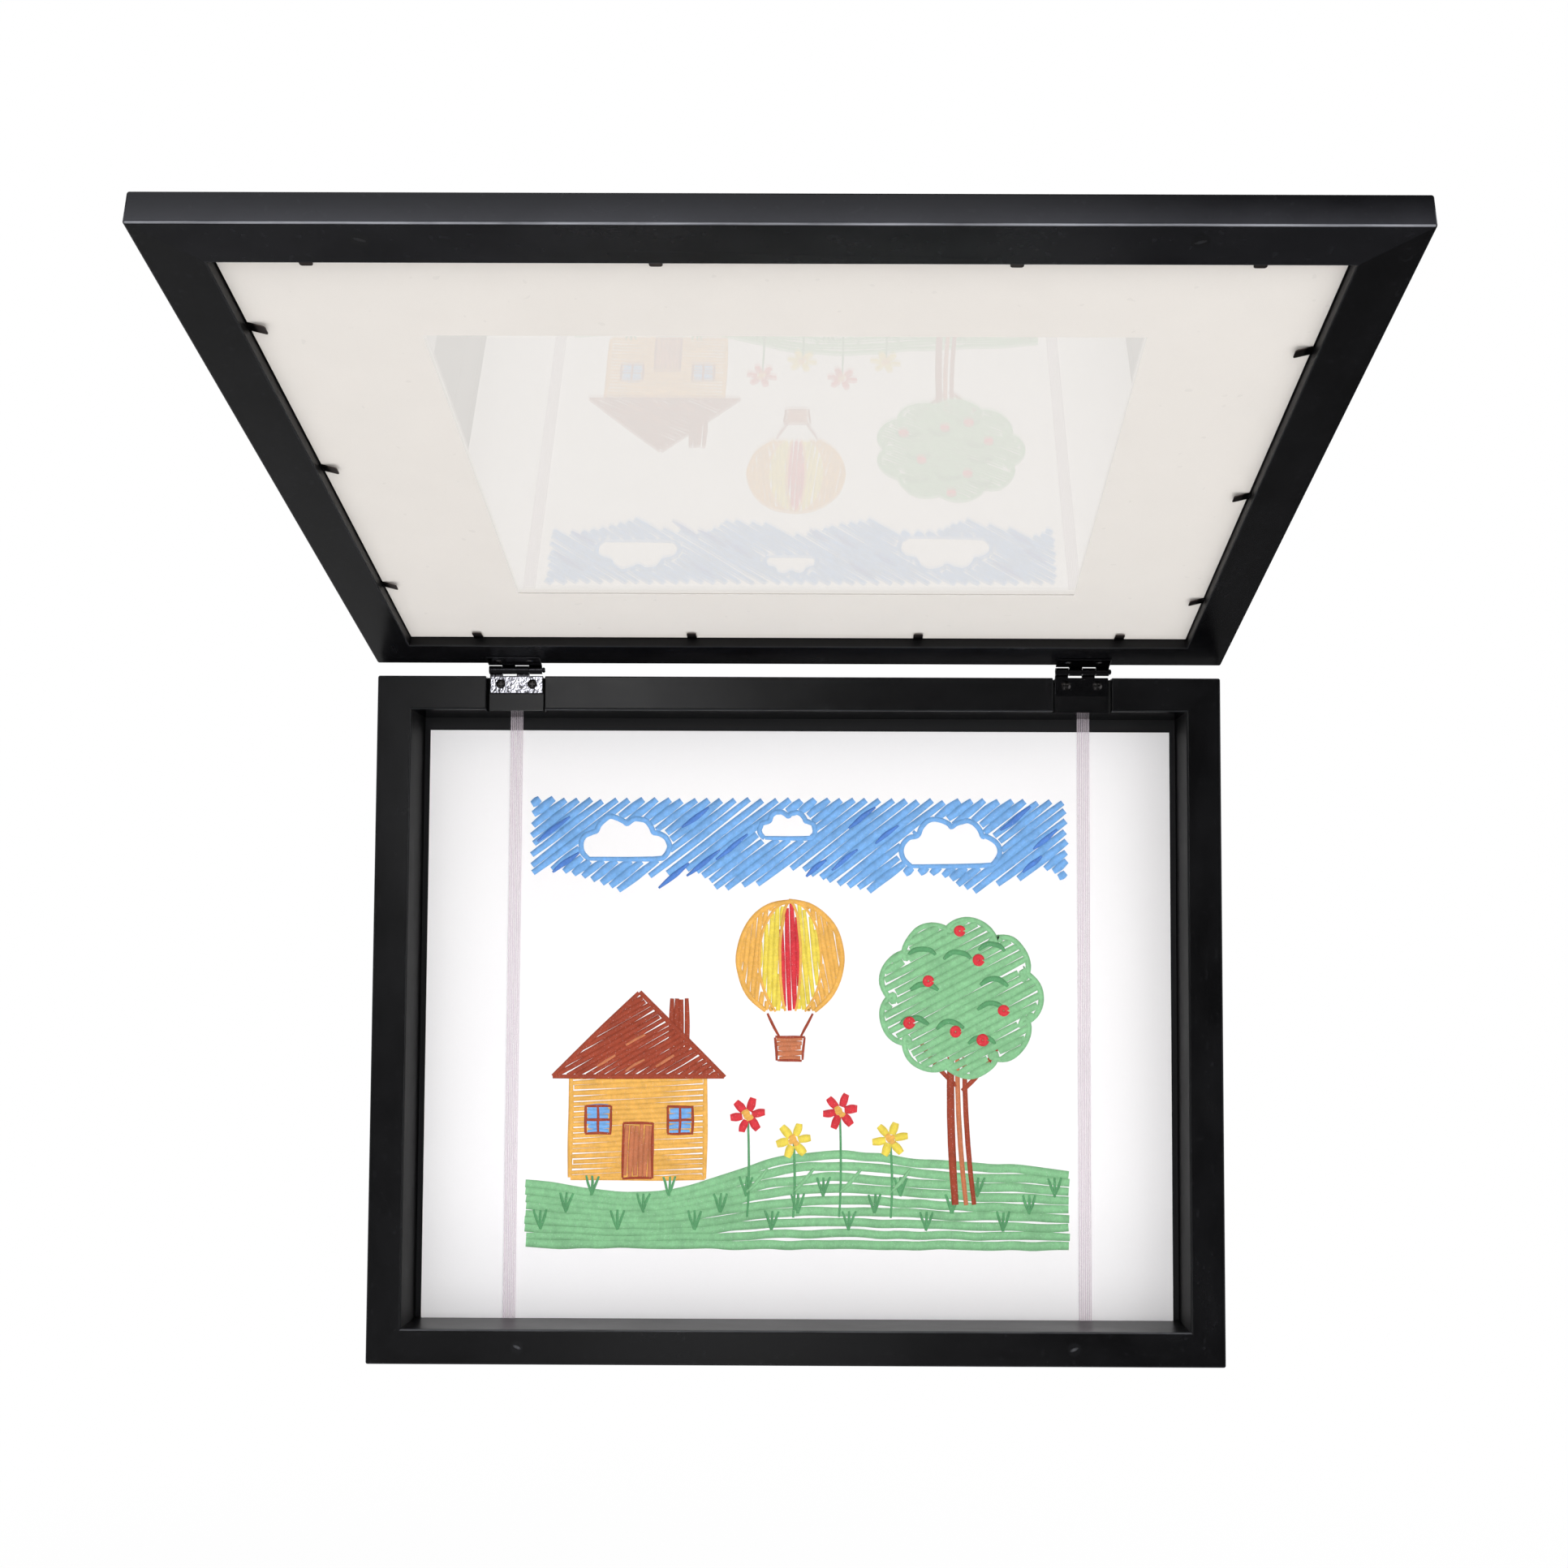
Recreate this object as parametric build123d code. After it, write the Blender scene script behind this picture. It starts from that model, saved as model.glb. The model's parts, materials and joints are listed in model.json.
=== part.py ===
from build123d import *
import os

# A wall-hung frame for children's drawings. A shallow timber box keeps a stack of
# sheets behind two elastic straps, and a glazed lid with a window mat is hinged along
# the top of the box. The stored rest pose has the lid standing open.
#
# Pieces are laid out on a bench with the frame face up: X to the right, Y to the top
# of the frame, Z out of the front, and Z zero on the front face of the box. The lid is
# laid out shut. The last step swings the lid open and hangs everything on the wall,
# where +Z is up and the frame faces -Y.

# Sheet format and picture window
paper_width = 355.6
paper_height = 279.4
window_width = 241.3
window_height = 190.5

# Box timber
rail_face = 15.875
box_depth = 38.1
paper_margin = 3.175
panel_setback = 29.2
panel_thickness = 3.2
panel_rabbet = 6.0
panel_slack = 0.5
corner_round = 1.0
outer_edge_round = 0.6
inner_edge_round = 1.0

# Lid timber
moulding_face = 25.4
lid_thickness = 11.5
lid_rabbet = 6.2
lip_thickness = 3.8
lid_edge_round = 0.9
lid_inner_round = 0.4
shut_gap = 0.3

# Glazing and mat
glazing_thickness = 2.0
mat_thickness = 1.3
glazing_slack = 0.6

# Sheets
sheet_thickness = 0.35
stored_sheet_count = 6

# Elastic straps
strap_width = 6.2
strap_thickness = 0.8
strap_from_sheet_edge = 41.6
strap_slot_depth = 5.0
strap_slack = 0.15
strap_rib_count = 7

# Hinges
hinge_from_end = 64.35
hinge_leaf_width = 25.0
hinge_leaf_reach = 11.0
hinge_leaf_thickness = 0.7
hinge_rise = 3.0
barrel_radius = 1.9
pin_radius = 0.9
pin_play = 0.05
pin_head_radius = 1.3
pin_head_length = 1.1
pin_dome_share = 0.8
knuckle_count = 4
knuckle_gap = 0.12
notch_gap = 0.7
recess_slack = 1.2
recess_edge_round = 0.5
kerf_width = 1.1
kerf_depth = 3.0
leaf_corner_round = 0.6
leaf_edge_round = 0.3
lid_open_angle = 105.0

# Hinge screws
screw_spacing = 14.7
screw_from_axis = 6.4
screw_head_radius = 2.2
screw_head_depth = 1.05
screw_dome = 0.45
screw_shank_radius = 1.15
box_screw_length = 12.0
lid_screw_length = 7.5
screw_point_length = 2.0
cross_slot_length = 2.7
cross_slot_width = 0.6
cross_slot_depth = 0.75
seat_clearance = 0.05

# Magnets behind painted plugs
magnet_from_end = 69.35
magnet_radius = 3.0
magnet_thickness = 3.0
plug_thickness = 0.8

# Tabs that hold the mat and glazing
tab_width = 4.3
tab_thickness = 0.4
tab_reach = 6.6
tab_embed = 5.0
tab_bend = 0.6
tab_corner_round = 0.9
side_tab_lift = 1.6
hinge_tab_lift = 0.7
free_tab_lift = 0.1
left_tab_shares = (0.816, 0.533, 0.229)
right_tab_shares = (0.779, 0.473, 0.188)
free_tab_shares = (0.122, 0.400, 0.687, 0.880)
hinge_tab_shares = (0.129, 0.377, 0.639, 0.872)

# Points that hold the back panel
point_width = 5.0
point_thickness = 0.5
point_reach = 6.0
point_embed = 5.0
long_point_shares = (0.14, 0.38, 0.62, 0.86)
short_point_shares = (0.2, 0.5, 0.8)

# Brads that pin the mitred corners
brad_radius = 0.6
brad_length = 24.0
brad_sink = 0.8
box_brad_depth_shares = (0.25, 0.62)
lid_brad_inset_shares = (0.26, 0.62)

# Toothed hangers
hanger_length = 44.0
hanger_height = 8.4
hanger_thickness = 0.9
hanger_stand_off = 0.9
hanger_flat_length = 8.5
hanger_ramp_length = 2.0
hanger_end_round = 2.5
tooth_count = 9
tooth_pitch = 2.4
tooth_depth = 1.3
nail_head_radius = 1.7
nail_head_thickness = 0.5
nail_shank_radius = 0.7
nail_length = 11.0
nail_inset = 4.2

# One overrun for every cut
overrun = 2.0

# Sizes that follow from the ones above
opening_width = paper_width + 2 * paper_margin
opening_height = paper_height + 2 * paper_margin
outer_width = opening_width + 2 * rail_face
outer_height = opening_height + 2 * rail_face
half_width = outer_width / 2
half_height = outer_height / 2

strap_spacing = paper_width - 2 * strap_from_sheet_edge
hinge_spacing = outer_width - 2 * hinge_from_end
magnet_spacing = outer_width - 2 * magnet_from_end

hinge_y = half_height + hinge_rise
hinge_z = shut_gap - barrel_radius
recess_floor_z = hinge_z - barrel_radius
lid_back_z = shut_gap
lid_front_z = lid_back_z + lid_thickness
rabbet_width = outer_width - 2 * (moulding_face - lid_rabbet)
rabbet_height = outer_height - 2 * (moulding_face - lid_rabbet)
rabbet_floor_z = lid_front_z - lip_thickness
mat_front_z = rabbet_floor_z - glazing_thickness
mat_back_z = mat_front_z - mat_thickness
glazing_width = rabbet_width - 2 * glazing_slack
glazing_height = rabbet_height - 2 * glazing_slack

panel_front_z = -panel_setback
panel_back_z = panel_front_z - panel_thickness
stack_front_z = panel_front_z + stored_sheet_count * sheet_thickness
drawing_front_z = stack_front_z + sheet_thickness
strap_back_z = drawing_front_z + strap_slack
strap_front_z = strap_back_z + strap_thickness
paper_bottom_y = -opening_height / 2

hanger_reach = hanger_thickness + hanger_stand_off
hanger_middle_y = half_height - (rail_face - panel_rabbet) / 2
hook_y = hanger_middle_y - hanger_height / 2 + tooth_depth
wall_z = -box_depth - hanger_reach


def slab(x_low, x_high, y_low, y_high, z_low, z_high):
    """A block between two corners."""
    block = Box(x_high - x_low, y_high - y_low, z_high - z_low, align=(Align.MIN, Align.MIN, Align.MIN))
    return Pos(x_low, y_low, z_low) * block


def mirrored_pair(middle):
    """Two places, left and right of the middle of the frame, a given distance apart."""
    return (-middle / 2, middle / 2)


def shares_of(length, shares):
    """Places along a length that is centred on zero, as shares of that length."""
    return [(share - 0.5) * length for share in shares]


def solids_of(pieces):
    """One compound of separate solids."""
    found = []
    for piece in pieces:
        found.extend(piece.solids())
    return Compound(found)


# Timber frames

def mitred_ring(inner_width, inner_height, back_z, front_z):
    """A rectangular ring with rounded outer corners."""
    outline = RectangleRounded(outer_width, outer_height, corner_round)
    outline -= Rectangle(inner_width, inner_height)
    return Pos(0, 0, back_z) * extrude(outline, amount=front_z - back_z)


def ring_face_at(ring, level):
    """The flat face of a ring that lies nearest one height."""
    return min(ring.faces().filter_by(Axis.Z), key=lambda face: abs(face.center().Z - level))


def soften(ring, level, outer_radius, inner_radius):
    """Round the outer and the inner outline of the ring's face at one height."""
    ring = fillet(ring_face_at(ring, level).outer_wire().edges(), outer_radius)
    ring = fillet(ring_face_at(ring, level).inner_wires()[0].edges(), inner_radius)
    return ring


def mitre_sector(side, reach):
    """The wedge of the frame that one rail fills, cut at 45 degrees at both ends."""
    far_x = half_width + overrun
    far_y = half_height + overrun
    near_x = half_width - reach
    near_y = half_height - reach
    wide = {
        "top": ((-far_x, far_y), (far_x, far_y), (near_x, near_y), (-near_x, near_y)),
        "bottom": ((-far_x, -far_y), (far_x, -far_y), (near_x, -near_y), (-near_x, -near_y)),
        "left": ((-far_x, far_y), (-far_x, -far_y), (-near_x, -near_y), (-near_x, near_y)),
        "right": ((far_x, far_y), (far_x, -far_y), (near_x, -near_y), (near_x, near_y)),
    }
    outline = make_face(Polyline(*wide[side], close=True))
    tall = box_depth + lid_thickness + 2 * overrun
    return Pos(0, 0, -box_depth - overrun) * extrude(outline, amount=tall, dir=(0, 0, 1))


def split_rails(ring, reach):
    """The four mitred rails of a ring."""
    rails = {}
    for side in ("top", "bottom", "left", "right"):
        rails[side] = ring & mitre_sector(side, reach)
    return rails


# Hinges

def knuckle_spans(leaf):
    """Where one leaf's knuckles lie along the barrel, from the hinge's middle."""
    pitch = hinge_leaf_width / knuckle_count
    first = 0 if leaf == "box" else 1
    spans = []
    for number in range(first, knuckle_count, 2):
        low = -hinge_leaf_width / 2 + number * pitch
        spans.append((low + knuckle_gap / 2, low + pitch - knuckle_gap / 2))
    return spans


def barrel_piece(low, high, radius):
    """A round bar along the hinge axis."""
    bar = Cylinder(radius, high - low, rotation=(0, 90, 0), align=(Align.CENTER, Align.CENTER, Align.MIN))
    return Pos(low, hinge_y, hinge_z) * bar


def screw_places(middle_x):
    """Where the two screws of a leaf stand."""
    across = mirrored_pair(screw_spacing)
    return [(middle_x + step, hinge_y - screw_from_axis) for step in across]


def oval_screw(length):
    """An oval-head cross-slot screw with its seat level with zero, pointing down."""
    core = Cylinder(screw_shank_radius, length - screw_point_length,
                    align=(Align.CENTER, Align.CENTER, Align.MAX))
    point = Cone(0, screw_shank_radius, screw_point_length, align=(Align.CENTER, Align.CENTER, Align.MAX))
    head = Cone(screw_shank_radius, screw_head_radius, screw_head_depth,
                align=(Align.CENTER, Align.CENTER, Align.MAX))
    dome_radius = (screw_head_radius ** 2 + screw_dome ** 2) / (2 * screw_dome)
    dome = Pos(0, 0, screw_dome - dome_radius) * Sphere(dome_radius)
    dome &= Cylinder(screw_head_radius, screw_dome, align=(Align.CENTER, Align.CENTER, Align.MIN))
    screw = core + Pos(0, 0, screw_point_length - length) * point + head + dome
    slot_low = screw_dome - cross_slot_depth
    half_long = cross_slot_length / 2
    half_wide = cross_slot_width / 2
    screw -= slab(-half_long, half_long, -half_wide, half_wide, slot_low, overrun)
    screw -= slab(-half_wide, half_wide, -half_long, half_long, slot_low, overrun)
    return screw


def screw_seat():
    """The countersunk hole that a screw leaves in a leaf."""
    bore = Cylinder(screw_shank_radius + seat_clearance, 2 * overrun)
    cone = Cone(screw_shank_radius + seat_clearance, screw_head_radius + seat_clearance, screw_head_depth,
                align=(Align.CENTER, Align.CENTER, Align.MAX))
    return bore + cone


def facing(leaf):
    """Which way a leaf's screw heads look while the lid is shut."""
    return 1 if leaf == "box" else -1


def leaf_show_z(leaf):
    """The height of the leaf's face that shows the screw heads."""
    return hinge_z - facing(leaf) * (barrel_radius - hinge_leaf_thickness)


def turned(shape, leaf):
    """A screw or its seat, turned to the side that the leaf is fixed from."""
    return shape if leaf == "box" else Rot(180, 0, 0) * shape


def leaf_screws(leaf):
    """All screws of the two box leaves, or of the two lid leaves."""
    length = box_screw_length if leaf == "box" else lid_screw_length
    screws = []
    for middle_x in mirrored_pair(hinge_spacing):
        for x, y in screw_places(middle_x):
            screws.append(Pos(x, y, leaf_show_z(leaf)) * turned(oval_screw(length), leaf))
    return screws


def hinge_leaf(leaf, middle_x):
    """One pressed leaf: a notched plate whose knuckles wrap the pin."""
    show_z = leaf_show_z(leaf)
    back_z = show_z - facing(leaf) * hinge_leaf_thickness
    z_low, z_high = sorted((show_z, back_z))
    half_leaf = hinge_leaf_width / 2
    notch_y = hinge_y - barrel_radius - notch_gap
    plate = slab(-half_leaf, half_leaf, hinge_y - hinge_leaf_reach, notch_y, z_low, z_high)
    far_corners = plate.edges().filter_by(Axis.Z).sort_by(Axis.Y)[:2]
    piece = fillet(far_corners, leaf_corner_round)
    show_face = min(piece.faces().filter_by(Axis.Z), key=lambda face: abs(face.center().Z - show_z))
    piece = fillet(show_face.edges().sort_by(Axis.Y)[:-1], leaf_edge_round)
    for low, high in knuckle_spans(leaf):
        piece += slab(low, high, notch_y, hinge_y, z_low, z_high)
        piece += barrel_piece(low, high, barrel_radius)
    piece -= barrel_piece(-hinge_leaf_width, hinge_leaf_width, pin_radius + pin_play)
    for x, y in screw_places(0):
        piece -= Pos(x, y, show_z) * turned(screw_seat(), leaf)
    return Pos(middle_x, 0, 0) * piece


def hinge_pin(middle_x):
    """The pin, with a small domed head past the right-hand knuckle."""
    half_leaf = hinge_leaf_width / 2
    pin = barrel_piece(-half_leaf, half_leaf + knuckle_gap, pin_radius)
    head = barrel_piece(half_leaf + knuckle_gap, half_leaf + knuckle_gap + pin_head_length, pin_head_radius)
    rim = head.edges().filter_by(GeomType.CIRCLE).sort_by(Axis.X)[-1]
    head = fillet(rim, pin_head_length * pin_dome_share)
    return Pos(middle_x, 0, 0) * (pin + head)


def across_top_rail(x_low, x_high, floor_z):
    """A cut across the whole face of the top rail, down to a floor."""
    return slab(x_low, x_high, half_height - rail_face - overrun, half_height + overrun, floor_z, overrun)


def cut_hinge_recesses(ring):
    """Cut the two housings that the box leaves sit in, soften their lips and saw a kerf down each side."""
    half_recess = hinge_leaf_width / 2 + recess_slack
    for x in mirrored_pair(hinge_spacing):
        ring -= across_top_rail(x - half_recess, x + half_recess, recess_floor_z)
    for x in mirrored_pair(hinge_spacing):
        lips = ring.edges().filter_by(Axis.Y).filter_by_position(Axis.X, x - half_recess, x + half_recess)
        ring = fillet(lips.group_by(Axis.Z)[-1], recess_edge_round)
    for x in mirrored_pair(hinge_spacing):
        for kerf_x in (x - half_recess, x + half_recess - kerf_width):
            ring -= across_top_rail(kerf_x, kerf_x + kerf_width, recess_floor_z - kerf_depth)
    return ring


# Magnets and plugs

def magnet_discs(y, face_z, inward):
    """Two discs behind the plugs. Inward is the Z direction into the timber."""
    plugs = []
    magnets = []
    for x in mirrored_pair(magnet_spacing):
        plug_middle = face_z + inward * plug_thickness / 2
        magnet_middle = face_z + inward * (plug_thickness + magnet_thickness / 2)
        plugs.append(Pos(x, y, plug_middle) * Cylinder(magnet_radius, plug_thickness))
        magnets.append(Pos(x, y, magnet_middle) * Cylinder(magnet_radius, magnet_thickness))
    return plugs, magnets


# Tabs, points, brads and nails

def mat_tab(lift):
    """A flat tab with its root at zero, reaching along +X over the mat, its tip bent up by a lift."""
    profile = Polyline((-tab_embed, 0), (tab_bend, 0), (tab_reach, lift), (tab_reach, lift + tab_thickness),
                       (tab_bend, tab_thickness), (-tab_embed, tab_thickness), close=True)
    upright = extrude(Plane.XZ * make_face(profile), amount=tab_width / 2, both=True)
    tip_corners = upright.edges().filter_by(Axis.Z).group_by(Axis.X)[-1]
    return Pos(0, 0, mat_back_z) * Rot(180, 0, 0) * fillet(tip_corners, tab_corner_round)


def mat_tabs():
    """Every tab, set round the lid's rabbet."""
    half_long = rabbet_width / 2
    half_tall = rabbet_height / 2
    tabs = []
    for y in shares_of(outer_height, left_tab_shares):
        tabs.append(Pos(-half_long, -y, 0) * mat_tab(side_tab_lift))
    for y in shares_of(outer_height, right_tab_shares):
        tabs.append(Pos(half_long, -y, 0) * Rot(0, 0, 180) * mat_tab(side_tab_lift))
    for x in shares_of(outer_width, free_tab_shares):
        tabs.append(Pos(x, -half_tall, 0) * Rot(0, 0, 90) * mat_tab(free_tab_lift))
    for x in shares_of(outer_width, hinge_tab_shares):
        tabs.append(Pos(x, half_tall, 0) * Rot(0, 0, -90) * mat_tab(hinge_tab_lift))
    return tabs


def panel_point():
    """A flat point driven into the rabbet wall, lying on the panel's back."""
    return slab(-point_embed, point_reach, -point_width / 2, point_width / 2,
                panel_back_z - point_thickness, panel_back_z)


def panel_points():
    """Every point, set round the panel."""
    half_long = opening_width / 2 + panel_rabbet
    half_tall = opening_height / 2 + panel_rabbet
    points = []
    for x in shares_of(opening_width, long_point_shares):
        points.append(Pos(x, -half_tall, 0) * Rot(0, 0, 90) * panel_point())
        points.append(Pos(x, half_tall, 0) * Rot(0, 0, -90) * panel_point())
    for y in shares_of(opening_height, short_point_shares):
        points.append(Pos(-half_long, y, 0) * panel_point())
        points.append(Pos(half_long, y, 0) * Rot(0, 0, 180) * panel_point())
    return points


def corner_brads(places):
    """Headless brads driven in from both sides at each corner."""
    brads = []
    bar = Cylinder(brad_radius, brad_length, rotation=(0, 90, 0))
    middle_x = half_width - brad_sink - brad_length / 2
    for y, z in places:
        for end in (-1, 1):
            brads.append(Pos(end * middle_x, y, z) * bar)
            brads.append(Pos(end * middle_x, -y, z) * bar)
    return brads


def box_brads():
    """Two brads at each corner of the box, one behind the other."""
    middle = half_height - (rail_face - panel_rabbet) / 2
    return corner_brads([(middle, -box_depth * share) for share in box_brad_depth_shares])


def lid_brads():
    """Two brads at each corner of the lid, side by side."""
    middle_z = lid_back_z + lid_thickness / 2
    back_face = moulding_face - lid_rabbet
    return corner_brads([(half_height - back_face * share, middle_z) for share in lid_brad_inset_shares])


# Hangers

def toothed_hanger():
    """A toothed strip centred on zero, its teeth to -Y and its wood side at Z zero."""
    half_long = hanger_length / 2
    half_tall = hanger_height / 2
    outline = RectangleRounded(hanger_length, hanger_height, hanger_end_round)
    blank = Pos(0, 0, -hanger_reach) * extrude(outline, amount=hanger_reach)
    ramp_end = half_long - hanger_flat_length
    ramp_start = ramp_end - hanger_ramp_length
    wood_side = [(-half_long, 0), (-ramp_end, 0), (-ramp_start, -hanger_stand_off),
                 (ramp_start, -hanger_stand_off), (ramp_end, 0), (half_long, 0)]
    wall_side = [(x, z - hanger_thickness) for x, z in reversed(wood_side)]
    bent = make_face(Polyline(*(wood_side + wall_side), close=True))
    strip = blank & extrude(Plane.XZ * bent, amount=half_tall, both=True)
    for number in range(tooth_count):
        x = (number - (tooth_count - 1) / 2) * tooth_pitch
        notch = make_face(Polyline((x - tooth_pitch / 2, -half_tall), (x, -half_tall + tooth_depth),
                                   (x + tooth_pitch / 2, -half_tall), close=True))
        strip -= Pos(0, 0, -hanger_reach - overrun) * extrude(notch, amount=hanger_reach + 2 * overrun,
                                                              dir=(0, 0, 1))
    for x in hanger_nail_places():
        strip -= Pos(x, 0, 0) * Cylinder(nail_shank_radius, 2 * overrun)
    return strip


def hanger_nail_places():
    """Where the nails stand along a hanger."""
    return mirrored_pair(hanger_length - 2 * nail_inset)


def hanger_nails():
    """The two nails of one hanger, with their heads towards the wall."""
    nails = []
    for x in hanger_nail_places():
        shank = Pos(x, 0, 0) * Cylinder(nail_shank_radius, nail_length,
                                        align=(Align.CENTER, Align.CENTER, Align.MIN))
        head_low = -hanger_thickness - nail_head_thickness
        head = Pos(x, 0, head_low) * Cylinder(nail_head_radius, nail_head_thickness,
                                              align=(Align.CENTER, Align.CENTER, Align.MIN))
        neck = Pos(x, 0, -hanger_thickness) * Cylinder(nail_shank_radius, hanger_thickness,
                                                       align=(Align.CENTER, Align.CENTER, Align.MIN))
        nails.append(head + neck + shank)
    return nails


def on_top_rail(shape):
    """Put a hanger's piece on the back of the top rail."""
    return Pos(0, hanger_middle_y, -box_depth) * shape


def on_left_rail(shape):
    """Put a hanger's piece on the back of the left rail, teeth towards the middle."""
    inset = half_width - (rail_face - panel_rabbet) / 2
    return Pos(-inset, 0, -box_depth) * Rot(0, 0, 90) * shape


# Straps, sheets, panel, glazing and mat

def strap_outline():
    """The strap's section: a row of round ribs that run into one another."""
    pitch = (strap_width - strap_thickness) / (strap_rib_count - 1)
    outline = Rectangle(strap_width - strap_thickness, strap_thickness / 2)
    for number in range(strap_rib_count):
        rib_x = (number - (strap_rib_count - 1) / 2) * pitch
        outline += Pos(rib_x, 0) * Circle(strap_thickness / 2)
    return outline


def elastic_strap(x):
    """A ribbed elastic strap, held at both ends in slots in the timber."""
    length = opening_height + 2 * (strap_slot_depth - strap_slack)
    middle_z = (strap_back_z + strap_front_z) / 2
    strap = extrude(Plane.XZ * strap_outline(), amount=length / 2, both=True)
    return Pos(x, 0, middle_z) * strap


def strap_slots():
    """The slots in the top and bottom rails that take the straps' ends."""
    half_long = opening_height / 2 + strap_slot_depth
    half_wide = strap_width / 2 + strap_slack
    slots = []
    for x in mirrored_pair(strap_spacing):
        slots.append(slab(x - half_wide, x + half_wide, -half_long, half_long,
                          strap_back_z - strap_slack, strap_front_z + strap_slack))
    return slots


def paper_sheet(z_low):
    """One sheet standing on the bottom rail."""
    return slab(-paper_width / 2, paper_width / 2, paper_bottom_y, paper_bottom_y + paper_height,
                z_low, z_low + sheet_thickness)


def stored_sheets():
    """The sheets kept behind the one on show."""
    return [paper_sheet(panel_front_z + number * sheet_thickness) for number in range(stored_sheet_count)]


def back_panel():
    """The thin board that closes the back of the box."""
    half_long = opening_width / 2 + panel_rabbet - panel_slack
    half_tall = opening_height / 2 + panel_rabbet - panel_slack
    return slab(-half_long, half_long, -half_tall, half_tall, panel_back_z, panel_front_z)


def glazing():
    """The clear sheet that lies against the lip of the lid."""
    half_long = glazing_width / 2
    half_tall = glazing_height / 2
    return slab(-half_long, half_long, -half_tall, half_tall, mat_front_z, rabbet_floor_z)


def window_mat():
    """The mat, whose window is cut at 45 degrees and widens towards the glazing."""
    half_long = glazing_width / 2
    half_tall = glazing_height / 2
    board = slab(-half_long, half_long, -half_tall, half_tall, mat_back_z, mat_front_z)
    narrow = Pos(0, 0, mat_back_z) * Rectangle(window_width, window_height)
    wide = Pos(0, 0, mat_front_z) * Rectangle(window_width + 2 * mat_thickness,
                                              window_height + 2 * mat_thickness)
    return board - loft([narrow, wide])


# Box and lid timber with every housing cut

def box_ring(cutters):
    """The box before it is split at its mitres."""
    ring = mitred_ring(opening_width, opening_height, -box_depth, 0)
    ring = soften(ring, 0, outer_edge_round, inner_edge_round)
    half_long = opening_width / 2 + panel_rabbet
    half_tall = opening_height / 2 + panel_rabbet
    ring -= slab(-half_long, half_long, -half_tall, half_tall, -box_depth - overrun, panel_front_z)
    ring = cut_hinge_recesses(ring)
    for cutter in cutters:
        ring -= cutter
    return ring


def lid_ring(cutters):
    """The lid before it is split at its mitres."""
    ring = mitred_ring(outer_width - 2 * moulding_face, outer_height - 2 * moulding_face,
                       lid_back_z, lid_front_z)
    ring = soften(ring, lid_front_z, lid_edge_round, lid_inner_round)
    half_long = rabbet_width / 2
    half_tall = rabbet_height / 2
    ring -= slab(-half_long, half_long, -half_tall, half_tall, lid_back_z - overrun, rabbet_floor_z)
    ring = soften(ring, lid_back_z, lid_edge_round, lid_inner_round)
    for cutter in cutters:
        ring -= cutter
    return ring


# Placing

def hang_box(shape):
    """Stand a bench piece up on the wall, with the hook at the origin."""
    return Rot(90, 0, 0) * Pos(0, -hook_y, -wall_z) * shape


def hang_lid(shape):
    """Swing a bench piece open about the hinge pins, then hang it."""
    axis = Axis((0, hinge_y, hinge_z), (1, 0, 0))
    return hang_box(shape.rotate(axis, -lid_open_angle))


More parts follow.
